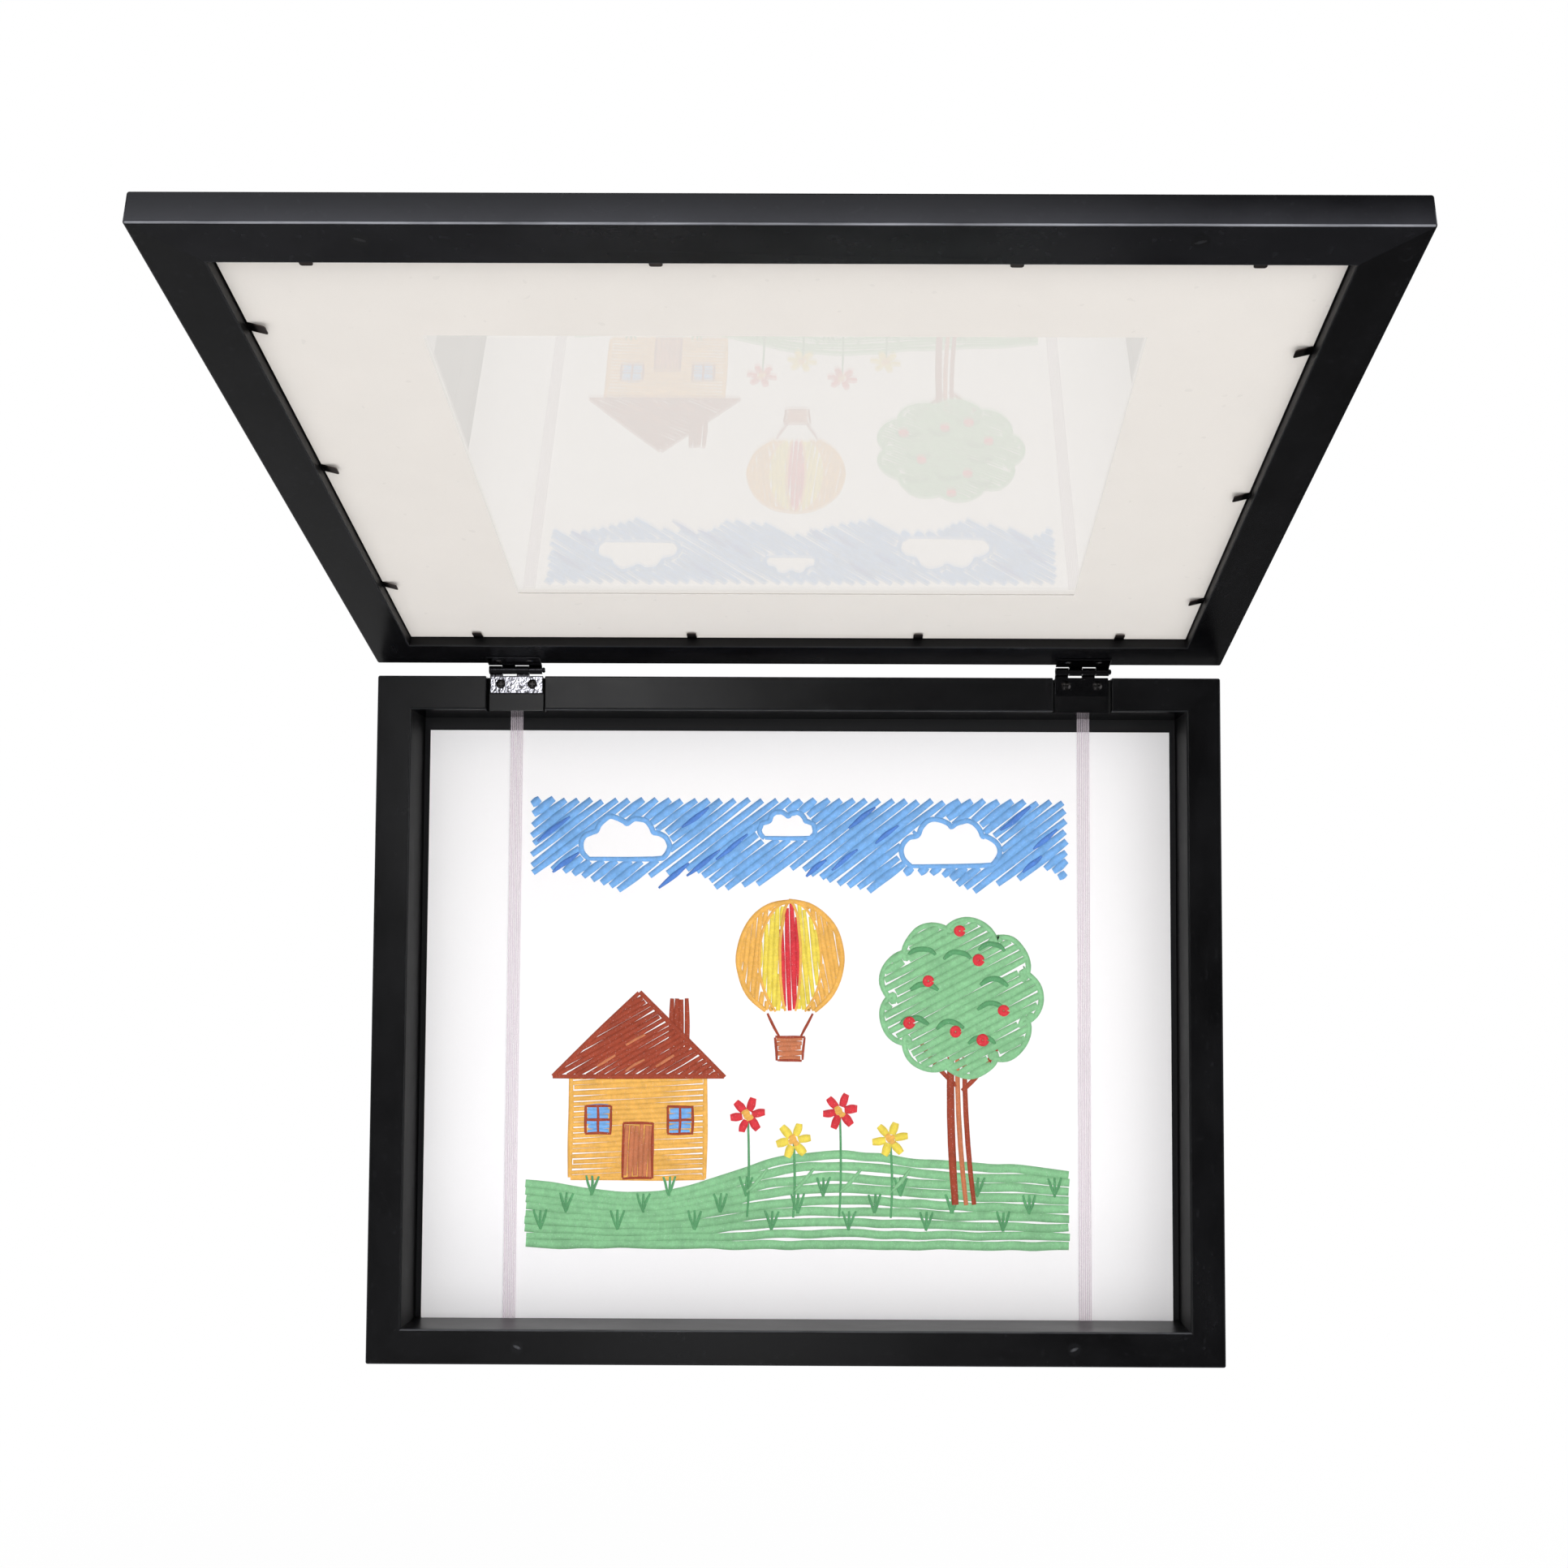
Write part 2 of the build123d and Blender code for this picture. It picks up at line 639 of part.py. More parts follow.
def build():
    """Every node of the frame, by name."""
    box_screws = leaf_screws("box")
    lid_screws = leaf_screws("lid")
    top_nails = [on_top_rail(nail) for nail in hanger_nails()]
    side_nails = [on_left_rail(nail) for nail in hanger_nails()]
    points = panel_points()
    tabs = mat_tabs()
    pins_in_box = box_brads()
    pins_in_lid = lid_brads()
    magnet_y = -half_height + rail_face / 2
    box_plugs, box_magnets = magnet_discs(magnet_y, 0, -1)
    lid_plugs, lid_magnets = magnet_discs(magnet_y, lid_back_z, 1)

    box_cuts = box_screws + top_nails + side_nails + points + pins_in_box + strap_slots()
    lid_cuts = lid_screws + tabs + pins_in_lid
    ring = box_ring(box_cuts + box_plugs + box_magnets)
    lid = lid_ring(lid_cuts + lid_plugs + lid_magnets)

    on_box = {}
    on_lid = {}
    for side, rail in split_rails(ring, rail_face + overrun).items():
        on_box["box_" + side + "_rail"] = rail
    lid_names = {"top": "lid_hinge_rail", "bottom": "lid_free_rail", "left": "lid_left_rail",
                 "right": "lid_right_rail"}
    for side, rail in split_rails(lid, moulding_face + overrun).items():
        on_lid[lid_names[side]] = rail

    on_box["back_panel"] = back_panel()
    on_box["panel_points"] = solids_of(points)
    on_box["stored_sheets"] = solids_of(stored_sheets())
    on_box["drawing_sheet"] = paper_sheet(stack_front_z)
    for name, x in zip(("left_strap", "right_strap"), mirrored_pair(strap_spacing)):
        on_box[name] = elastic_strap(x)
    on_box["box_corner_brads"] = solids_of(pins_in_box)
    on_box["box_magnets"] = solids_of(box_magnets)
    on_box["box_magnet_plugs"] = solids_of(box_plugs)
    on_box["top_hanger"] = on_top_rail(toothed_hanger())
    on_box["side_hanger"] = on_left_rail(toothed_hanger())
    on_box["hanger_nails"] = solids_of(top_nails + side_nails)
    for name, x in zip(("left", "right"), mirrored_pair(hinge_spacing)):
        on_box[name + "_hinge_box_leaf"] = hinge_leaf("box", x)
        on_box[name + "_hinge_pin"] = hinge_pin(x)
        on_lid[name + "_hinge_lid_leaf"] = hinge_leaf("lid", x)
    on_box["box_leaf_screws"] = solids_of(box_screws)

    on_lid["glazing"] = glazing()
    on_lid["window_mat"] = window_mat()
    on_lid["mat_tabs"] = solids_of(tabs)
    on_lid["lid_corner_brads"] = solids_of(pins_in_lid)
    on_lid["lid_magnets"] = solids_of(lid_magnets)
    on_lid["lid_magnet_plugs"] = solids_of(lid_plugs)
    on_lid["lid_leaf_screws"] = solids_of(lid_screws)

    nodes = {name: hang_box(shape) for name, shape in on_box.items()}
    for name, shape in on_lid.items():
        nodes[name] = hang_lid(shape)
    return nodes


def main():
    os.makedirs("parts", exist_ok=True)
    for name, shape in build().items():
        shape.label = name
        export_step(shape, "parts/" + name + ".step")
    print("outer size", round(outer_width, 2), "by", round(outer_height, 2), "by", box_depth)
    print("hinge axis", round(hinge_y - hook_y, 3), "above the hook and", round(hinge_z - wall_z, 3),
          "in front of the wall")


if __name__ == "__main__":
    main()
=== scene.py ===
import json
import math
import random

import bmesh
import bpy
from mathutils import Euler, Matrix, Vector


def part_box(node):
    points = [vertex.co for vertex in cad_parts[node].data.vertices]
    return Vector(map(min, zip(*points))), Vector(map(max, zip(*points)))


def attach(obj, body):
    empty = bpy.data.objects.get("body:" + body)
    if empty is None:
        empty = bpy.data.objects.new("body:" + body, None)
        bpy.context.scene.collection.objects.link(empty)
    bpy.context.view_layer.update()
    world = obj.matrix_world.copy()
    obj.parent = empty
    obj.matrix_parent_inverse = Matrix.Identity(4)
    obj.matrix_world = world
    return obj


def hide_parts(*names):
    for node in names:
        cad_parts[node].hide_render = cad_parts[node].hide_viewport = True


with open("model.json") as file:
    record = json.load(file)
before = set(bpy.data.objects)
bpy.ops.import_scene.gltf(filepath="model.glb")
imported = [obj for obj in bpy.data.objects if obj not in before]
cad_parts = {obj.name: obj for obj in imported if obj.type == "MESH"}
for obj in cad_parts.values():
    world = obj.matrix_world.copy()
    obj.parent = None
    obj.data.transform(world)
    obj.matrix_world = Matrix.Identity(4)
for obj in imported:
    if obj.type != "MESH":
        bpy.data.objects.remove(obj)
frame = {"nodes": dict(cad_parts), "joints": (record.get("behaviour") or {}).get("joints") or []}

bl_info = {
    "name": "Art frame finishes",
    "version": (1, 0, 0),
    "blender": (4, 5, 0),
    "location": "View3D > Sidebar > Art frame",
    "description": "Finishes a hinged art frame: painted timber, glass, mat, straps, hinges and a drawing",
    "category": "Object",
}

# Lengths are metres, and those of the drawing are millimetres from the sheet's middle
MM = 0.001

HINGE = frame["joints"][0]
OPEN_ANGLE = math.radians(-HINGE["range_deg"][0])
SHEET_LOW, SHEET_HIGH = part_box("drawing_sheet")
SHEET_MIDDLE = (SHEET_LOW + SHEET_HIGH) / 2
PANEL_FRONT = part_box("back_panel")[0].y
STRAP_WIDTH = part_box("left_strap")[1].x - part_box("left_strap")[0].x
# How far under the pin a box leaf's plate ends and its knuckles begin, and at what height
NOTCH_DROP = 2.6 * MM
NOTCH_HEIGHT = HINGE["pos_m"][2] - NOTCH_DROP
# What the materials mark: a leaf's rim, which its plate's painted reflection leaves dark, a tab's reach into
# the opening, whose end carries a painted reflection, and a magnet's scuff
RIM_WIDTH = 0.8 * MM
TAB_REACH = 6.6 * MM
SCUFF_REACH = 2.2 * MM
# How deep a finish goes under a rail's inner wall, which is rougher and painted darker as shade, a rail's outer
# side, which carries a painted sheen, the panel's front and the mat's back, whose bright core gives way to
# painted shade beyond it
WALL_SKIN = 0.3 * MM
SIDE_SKIN = 0.4 * MM
PANEL_SKIN = 0.2 * MM
MAT_SKIN = 0.4 * MM
# Play between the mat and the rails round it
MAT_PLAY = 0.6 * MM
# Specular level of the paint
PAINT_GLOSS = 0.27

# Turns that bring the length of a rail onto the pattern's X axis
ALONG_X = Euler((0, 0, 0))
ALONG_Z = Euler((0, math.radians(90), 0))
LID_TILT = OPEN_ANGLE - math.pi / 2
LID_LEVEL = Euler((LID_TILT, 0, 0))

BOX_CROSS_RAILS = ("box_top_rail", "box_bottom_rail")
BOX_SIDE_RAILS = ("box_left_rail", "box_right_rail")
LID_SIDE_RAILS = ("lid_left_rail", "lid_right_rail")


def level_box(names, level):
    """The lowest and highest corners of some CAD nodes once they are turned level."""
    turn = level.to_matrix()
    corners = [turn @ corner.co for name in names for corner in frame["nodes"][name].data.vertices]
    return Vector([min(values) for values in zip(*corners)]), Vector([max(values) for values in zip(*corners)])


class Ring:
    """Four rails laid level: X across, Y up the ring and Z through it. Z is low on the side that the photograph
    shows."""

    def __init__(self, names, level, rail_width):
        self.level = level
        self.low, self.high = level_box(names, level)
        self.rail_width = rail_width

    def gaps(self, shader):
        """How far a point lies from the ring's sides, along each axis."""
        spot = shader.place(self.level)
        middle, half = (self.low + self.high) / 2, (self.high - self.low) / 2
        return [half[axis] - abs(shader.axis(spot, name) - middle[axis]) for axis, name in enumerate("XYZ")]


BOX_RING = Ring(BOX_CROSS_RAILS + BOX_SIDE_RAILS, Euler((math.pi / 2, 0, 0)),
                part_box("box_left_rail")[1].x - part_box("box_left_rail")[0].x)
LID_RING = Ring(("lid_hinge_rail", "lid_free_rail") + LID_SIDE_RAILS, LID_LEVEL,
                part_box("window_mat")[0].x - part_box("lid_left_rail")[0].x - MAT_PLAY)
MAT_BACK = level_box(("window_mat",), LID_LEVEL)[0].z


# Shader writing

class Wire:
    """A shader output. Arithmetic on it adds Math nodes."""

    def __init__(self, shader, output):
        self.shader = shader
        self.output = output

    def math(self, operation, *terms):
        return self.shader.node("Math", {"operation": operation}, terms)

    def __add__(self, other):
        return self.math("ADD", self, other)

    def __radd__(self, other):
        return self.math("ADD", other, self)

    def __sub__(self, other):
        return self.math("SUBTRACT", self, other)

    def __rsub__(self, other):
        return self.math("SUBTRACT", other, self)

    def __mul__(self, other):
        return self.math("MULTIPLY", self, other)

    def __rmul__(self, other):
        return self.math("MULTIPLY", other, self)

    def __truediv__(self, other):
        return self.math("DIVIDE", self, other)

    def __pow__(self, other):
        return self.math("POWER", self, other)

    def __gt__(self, other):
        return self.math("GREATER_THAN", self, other)

    def __lt__(self, other):
        return self.math("LESS_THAN", self, other)

    def __abs__(self):
        return self.math("ABSOLUTE", self)

    def sine(self):
        return self.math("SINE", self)

    def at_most(self, other):
        return self.math("MINIMUM", self, other)

    def at_least(self, other):
        return self.math("MAXIMUM", self, other)


class Shader:
    """One node tree, with one method for any node and short names for the ones used most."""

    def __init__(self, name, tree=None):
        if tree is None:
            self.material = bpy.data.materials.new(name)
            self.material.use_nodes = True
            tree = self.material.node_tree
        self.tree = tree
        self.tree.nodes.clear()

    def node(self, kind, settings=None, inputs=(), output=0):
        """A node of that kind. Its settings are set first, then the values or links of its sockets."""
        made = self.tree.nodes.new("ShaderNode" + kind)
        for key, value in (settings or {}).items():
            if key == "stops":
                self.set_stops(made.color_ramp, value)
            else:
                setattr(made, key, value)
        pairs = inputs.items() if isinstance(inputs, dict) else enumerate(inputs)
        for key, value in pairs:
            if isinstance(value, Wire):
                self.tree.links.new(value.output, made.inputs[key])
            else:
                made.inputs[key].default_value = value
        return Wire(self, made.outputs[output])

    @staticmethod
    def set_stops(ramp, stops):
        """Puts a ramp's stops at their places."""
        while len(ramp.elements) < len(stops):
            ramp.elements.new(1)
        for element, (place, shade) in zip(ramp.elements, stops):
            element.position = place
            element.color = (shade, shade, shade, 1)

    def place(self, turn=(0, 0, 0), scale=(1, 1, 1), shift=(0, 0, 0)):
        """Object coordinates, moved, turned and stretched."""
        coordinates = self.node("TexCoord", output="Object")
        moved = self.node("VectorMath", {"operation": "ADD"}, (coordinates, shift))
        return self.node("VectorMath", {"operation": "MULTIPLY"}, (self.turned(moved, turn), scale))

    def turned(self, vector, turn):
        """A vector turned by Euler angles."""
        return self.node("VectorRotate", {"rotation_type": "EULER_XYZ"}, {"Vector": vector, "Rotation": turn})

    def ray(self, kind):
        """1 for rays of a kind, such as Camera, and 0 for others."""
        return self.node("LightPath", output="Is %s Ray" % kind)

    def axis(self, vector, name):
        """One number of a vector."""
        return self.node("SeparateXYZ", None, (vector,), name)

    def noise(self, vector, scale, detail=2.0, roughness=0.5):
        """Cloud noise, from 0 to 1."""
        return self.node("TexNoise", None, {"Vector": vector, "Scale": scale, "Detail": detail,
                                            "Roughness": roughness}, "Fac")

    def ramp(self, value, *stops):
        """A value bent through a ramp of (place, shade) stops."""
        return self.node("ValToRGB", {"stops": stops}, (value,))

    def mix(self, share, first, second):
        """Two colours mixed by a share."""
        return self.node("Mix", {"data_type": "RGBA"}, {0: share, 6: first, 7: second}, 2)

    def bump(self, height, strength, depth, under=None):
        """A bumped normal from a height and its depth in metres, over another normal if one is given."""
        inputs = {"Strength": strength, "Distance": depth, "Height": height}
        if under is not None:
            inputs["Normal"] = under
        return self.node("Bump", None, inputs)

    def principled(self, **values):
        """A Principled shader. Names are the sockets' names with underscores."""
        inputs = {key.replace("_", " "): value for key, value in values.items()}
        return self.node("BsdfPrincipled", None, inputs)

    def finish(self, surface):
        """Sends a shader to the material's output."""
        self.send("OutputMaterial", surface)
        return self.material

    def send(self, kind, surface):
        """Links a shader to an output node of that kind."""
        made = self.tree.nodes.new("ShaderNode" + kind)
        self.tree.links.new(surface.output, made.inputs["Surface"])


def paint(names, material):
    """Gives all of some CAD nodes one material."""
    for name in names:
        data = frame["nodes"][name].data
        data.materials.clear()
        data.materials.append(material)


def add_object(name, data):
    """A new object in the scene."""
    made = bpy.data.objects.new(name, data)
    bpy.context.scene.collection.objects.link(made)
    return made


def rgb(colour):
    """A colour property as four numbers."""
    return (colour[0], colour[1], colour[2], 1.0)


def tinted(colour, factor):
    """A colour made lighter or darker."""
    return tuple(min(1.0, part * factor) for part in colour[:3]) + (1.0,)


# Settings

def colour_property(name, description, default):
    return bpy.props.FloatVectorProperty(name=name, description=description, subtype="COLOR", size=3,
                                         min=0, max=1, default=default)


def length_property(name, description, default):
    return bpy.props.FloatProperty(name=name, description=description, default=default, min=0,
                                   unit="LENGTH", subtype="DISTANCE")


def share_property(name, description, default):
    return bpy.props.FloatProperty(name=name, description=description, default=default, min=0, max=1,
                                   subtype="FACTOR")


class TimberSettings(bpy.types.PropertyGroup):
    colour: colour_property("Paint", "Colour of the painted timber", (0.0014, 0.0014, 0.0018))
    haze: colour_property("Haze", "Colour of the faint haze on the paint", (0.0085, 0.0086, 0.0100))
    # Rubbed colour: light wear along edges, with a painted highlight over it
    wear_and_highlight: colour_property("Rubbed", "Colour of the paint where an edge is rubbed", (0.42, 0.43, 0.47))
    wear_and_highlight_reach: length_property("Rubbed reach", "How far the rubbing goes round an edge", 0.0009)
    roughness: share_property("Roughness", "How matt the paint is", 0.24)
    grain_pitch: length_property("Grain pitch", "Distance between the lines of grain", 0.0006)
    board: colour_property("Board", "Colour of the back panel's bare side", (0.17, 0.105, 0.055))


class MetalSettings(bpy.types.PropertyGroup):
    hinge: colour_property("Hinge", "Colour of the plated hinges", (0.090, 0.090, 0.100))
    screw: colour_property("Screw", "Colour of the screws", (0.052, 0.050, 0.050))
    tab: colour_property("Tab", "Colour of the tabs and points", (0.012, 0.011, 0.011))
    # The tabs' ends carry a painted reflection of pale surroundings
    tab_tip_reflection: colour_property("Tab tip", "Colour of the tabs' ends, which fingers bend", (0.115, 0.095, 0.090))
    hanger: colour_property("Hanger", "Colour of the hangers and their nails", (0.62, 0.50, 0.27))
    hammer_pitch: length_property("Hammering", "Distance between the dimples of the hinges", 0.0009)


class PaperSettings(bpy.types.PropertyGroup):
    sheet: colour_property("Sheet", "Colour of the drawing paper", (0.955, 0.943, 0.950))
    mat: colour_property("Mat", "Colour of the mat's face", (0.82, 0.776, 0.727))
    core: colour_property("Core", "Colour of the mat's cut edge", (0.93, 0.92, 0.90))
    fibre_pitch: length_property("Fibres", "Size of the paper's fibres", 0.0005)


class GlassSettings(bpy.types.PropertyGroup):
    colour: colour_property("Glass", "Tint of one face of the glass", (0.84, 0.815, 0.785))
    clearance: length_property("Clearance", "Air between the pane and what holds it", 0.00006)
    arris: length_property("Arris", "Width of the ground-off edges of the pane", 0.0003)
    index: bpy.props.FloatProperty(name="Index", description="Index of refraction", default=1.5, min=1, max=3)


class StrapSettings(bpy.types.PropertyGroup):
    colour: colour_property("Elastic", "Colour of the elastic's threads", (0.86, 0.765, 0.83))
    rib_count: bpy.props.IntProperty(name="Ribs", description="Rubber threads across a strap", default=7, min=1)
    thread_pitch: length_property("Thread pitch", "Distance between the cross threads", 0.0004)
    cover: share_property("Cover", "How much the threads hide what is behind them", 0.26)


class DrawingSettings(bpy.types.PropertyGroup):
    tip_scale: bpy.props.FloatProperty(name="Tips", description="Width of the felt tips beside the drawn one",
                                       default=1, min=0.2, max=1.5)
    ink_height: share_property("Ink height", "Height of a line as a share of its width", 0.02)
    layer_lift: length_property("Layers", "How far a later colour lies over an earlier one", 0.00005)
    seed: bpy.props.IntProperty(name="Seed", description="Seed of the hand's wobble", default=7)


class StageSettings(bpy.types.PropertyGroup):
    floor_width: length_property("Floor", "Width of the floor", 8.0)
    floor_drop: length_property("Drop", "How far the floor lies under the frame", 0.95)
    camera_lens: bpy.props.FloatProperty(name="Lens", description="Focal length", default=41.105, min=1,
                                         unit="CAMERA")


SETTINGS = {
    "art_timber": TimberSettings,
    "art_metal": MetalSettings,
    "art_paper": PaperSettings,
    "art_glass": GlassSettings,
    "art_straps": StrapSettings,
    "art_drawing": DrawingSettings,
    "art_stage": StageSettings,
}


# Painted timber and boards

def timber_paint(name, settings, turn, ring, sawn=0.25, outer_highlight_and_sheen=0.0, inner_wear_and_highlight=0.03, gloss=PAINT_GLOSS):
    """Satin black paint over timber whose grain runs along the pattern's X once turned. Sawn makes the walls of
    the opening rougher, and the walls get no haze, which paints them darker as shade. All outer edges carry a
    faint light line of wear and painted highlight. The first strength after sawn adds a painted highlight over
    wear along the outer edges of the seen side, and a painted sheen, mostly on the outer side, that grows
    lighter towards the seen side. The second adds a painted highlight over wear along the inner edges of the
    seen side, where sheets slide. Gloss is the paint's specular level."""
    shader = Shader(name)
    lines = 1 / settings.grain_pitch
    grain = shader.noise(shader.place(turn, (lines / 40, lines, lines)), 1.0, 3.0, 0.6)
    peel = shader.noise(shader.place(), 650.0, 1.0)
    clouds = shader.noise(shader.place(turn, (22, 40, 40)), 1.0, 5.0, 0.65)
    specks = shader.ramp(shader.noise(shader.place(), 420.0, 0.0), (0.745, 0), (0.775, 1))
    across, along, through = ring.gaps(shader)
    side = across.at_most(along)
    wall = side > ring.rail_width - WALL_SKIN
    height = shader.axis(shader.place(ring.level), "Z")
    seen = height < (ring.low.z + ring.high.z) / 2
    outer = (side + through).at_most(across + along)
    inner = (ring.rail_width - side) + through
    # Painted highlight over light wear along the edges, broken up by the grain
    wear_and_highlight = shader.ramp(outer / settings.wear_and_highlight_reach, (0.58, 1), (0.78, 0)) * (0.05 + seen * outer_highlight_and_sheen)
    wear_and_highlight = wear_and_highlight.at_least(shader.ramp(abs(inner) / settings.wear_and_highlight_reach, (0.55, 1), (0.9, 0)) * seen * inner_wear_and_highlight)
    wear_and_highlight = wear_and_highlight * shader.ramp(clouds * 0.5 + grain * 0.5, (0.36, 0.35), (0.6, 1))
    # The haze is random cloudy tone and specks, left off the opening's walls, which paints them darker as shade
    haze = (shader.ramp(clouds, (0.35, 0), (0.75, 1)) * 0.55 + specks * 0.45) * (1 - wall)
    colour = shader.mix(haze, rgb(settings.colour), rgb(settings.haze))
    rise = (height - ring.low.z) / (ring.high.z - ring.low.z)
    # Painted sheen: lighter towards the seen side, strongest on the outer side, cloudy
    painted_sheen = (1 - rise).at_least(0.0) ** 1.4 * (0.2 + (side < SIDE_SKIN) * 0.8) * (0.5 + clouds) * outer_highlight_and_sheen
    colour = shader.mix(painted_sheen.at_most(1.0), colour, tinted(settings.haze, 4.5))
    colour = shader.mix(wear_and_highlight, colour, rgb(settings.wear_and_highlight))
    rough = settings.roughness + (clouds - 0.5) * 0.16 + grain * 0.02 + wall * sawn
    normal = shader.bump(grain, 0.1, 0.03 * MM, shader.bump(peel, 0.16, 0.04 * MM))
    surface = shader.principled(Base_Color=colour, Roughness=rough, Normal=normal, Specular_IOR_Level=gloss)
    return shader.finish(surface)


def plug_paint(name, settings, ring, node, scuffed):
    """Paint over a magnet's plug, with a scuff where the other magnet meets it."""
    shader = Shader(name)
    turn = ring.level.to_matrix()
    corners = [turn @ corner.co for corner in frame["nodes"][node].data.vertices]
    spans = zip(*((abs(corner.x), corner.y) for corner in corners))
    middle_x, middle_y = ((min(values) + max(values)) / 2 for values in spans)
    spot = shader.place(ring.level)
    across = abs(shader.axis(spot, "X")) - middle_x
    along = shader.axis(spot, "Y") - middle_y + across * 0.35
    spread = (across * across + along * along * 5.0) ** 0.5
    grit = shader.noise(shader.place(), 1400.0, 3.0, 0.7)
    clouds = shader.noise(shader.place(), 40.0, 5.0, 0.65)
    scuff = shader.ramp(spread / SCUFF_REACH + (grit - 0.5) * 0.8, (0.35, 1), (0.95, 0))
    scuff = scuff * shader.ramp(grit, (0.35, 0.2), (0.6, 1))
    colour = shader.mix(clouds, rgb(settings.colour), rgb(settings.haze))
    colour = shader.mix(scuff * scuffed, colour, rgb(settings.wear_and_highlight))
    rough = settings.roughness + scuff * 0.3 + (clouds - 0.5) * 0.16
    normal = shader.bump(grit, 0.1, 0.03 * MM)
    surface = shader.principled(Base_Color=colour, Roughness=rough, Normal=normal,
                                Specular_IOR_Level=PAINT_GLOSS)
    return shader.finish(surface)


def board_finish(name, settings):
    """Hardboard with a painted front and a bare back, which fibres and flecks mark."""
    shader = Shader(name)
    spot = shader.place()
    bare = shader.axis(spot, "Y") > PANEL_FRONT + PANEL_SKIN
    fibres = shader.noise(spot, 900.0, 4.0, 0.7)
    flecks = shader.ramp(shader.noise(spot, 260.0, 2.0), (0.58, 0), (0.7, 1))
    brown = shader.mix(fibres * 0.6 + flecks * 0.4, tinted(settings.board, 0.7), tinted(settings.board, 1.5))
    colour = shader.mix(bare, rgb(settings.haze), brown)
    rough = 0.5 + bare * 0.2 + fibres * 0.1
    normal = shader.bump(fibres, 0.3, 0.06 * MM)
    return shader.finish(shader.principled(Base_Color=colour, Roughness=rough, Normal=normal))


class ARTFRAME_OT_timber(bpy.types.Operator):
    """Paint the rails and finish the back panel"""
    bl_idname = "artframe.timber"
    bl_label = "Paint the timber"

    def execute(self, context):
        settings = context.scene.art_timber
        lid_up = Euler((LID_TILT, 0, math.radians(90)))
        # The bottom rail's inner edge gets the strongest painted highlight, and the free rail a painted
        # highlight and sheen
        paint(("box_top_rail",),
              timber_paint("top rail paint", settings, ALONG_X, BOX_RING, sawn=-0.1, inner_wear_and_highlight=0.06))
        paint(("box_bottom_rail",),
              timber_paint("bottom rail paint", settings, ALONG_X, BOX_RING, sawn=0.08, inner_wear_and_highlight=0.28))
        paint(BOX_SIDE_RAILS, timber_paint("box side rail paint", settings, ALONG_Z, BOX_RING, sawn=0.36))
        paint(("lid_hinge_rail",), timber_paint("hinge rail paint", settings, LID_LEVEL, LID_RING))
        paint(("lid_free_rail",),
              timber_paint("free rail paint", settings, LID_LEVEL, LID_RING, outer_highlight_and_sheen=0.75, gloss=0.17))
        paint(LID_SIDE_RAILS, timber_paint("lid side rail paint", settings, lid_up, LID_RING))
        paint(("box_magnet_plugs",),
              plug_paint("box plug paint", settings, BOX_RING, "box_magnet_plugs", scuffed=0.18))
        paint(("lid_magnet_plugs",),
              plug_paint("lid plug paint", settings, LID_RING, "lid_magnet_plugs", scuffed=0.05))
        paint(("back_panel",), board_finish("panel board", settings))
        return {"FINISHED"}


# Metal

def plated_steel(name, colour, roughness, pitch, dimple):
    """Plated steel whose surface has shallow dimples, a pitch apart and a dimple deep."""
    shader = Shader(name)
    spot = shader.place()
    dimples = shader.noise(spot, 1 / pitch, 1.0, 0.4)
    wear = shader.noise(spot, 160.0, 4.0, 0.65)
    tone = shader.mix(shader.ramp(wear, (0.3, 0), (0.8, 1)), tinted(colour, 0.8), tinted(colour, 1.25))
    rough = roughness + (wear - 0.5) * 0.18
    normal = shader.bump(dimples, 0.5, dimple)
    surface = shader.principled(Base_Color=tone, Metallic=1.0, Roughness=rough, Normal=normal)
    return shader.finish(surface)


def spring_steel(name, settings, ring):
    """Dark spring steel strip, with a painted reflection that makes it lighter towards the tip that stands in
    the ring's opening.
    """
    shader = Shader(name)
    across, along, _ = ring.gaps(shader)
    # Painted reflection towards the tip
    tip = shader.ramp((across.at_most(along) - ring.rail_width) / TAB_REACH, (0.38, 0), (0.55, 1))
    wear = shader.noise(shader.place(), 700.0, 4.0, 0.65)
    tone = shader.mix(tip * (0.6 + wear * 0.5).at_most(1.0), rgb(settings.tab), rgb(settings.tab_tip_reflection))
    normal = shader.bump(wear, 0.3, 0.02 * MM)
    surface = shader.principled(Base_Color=tone, Metallic=1.0, Roughness=0.34 + wear * 0.16, Normal=normal)
    return shader.finish(surface)


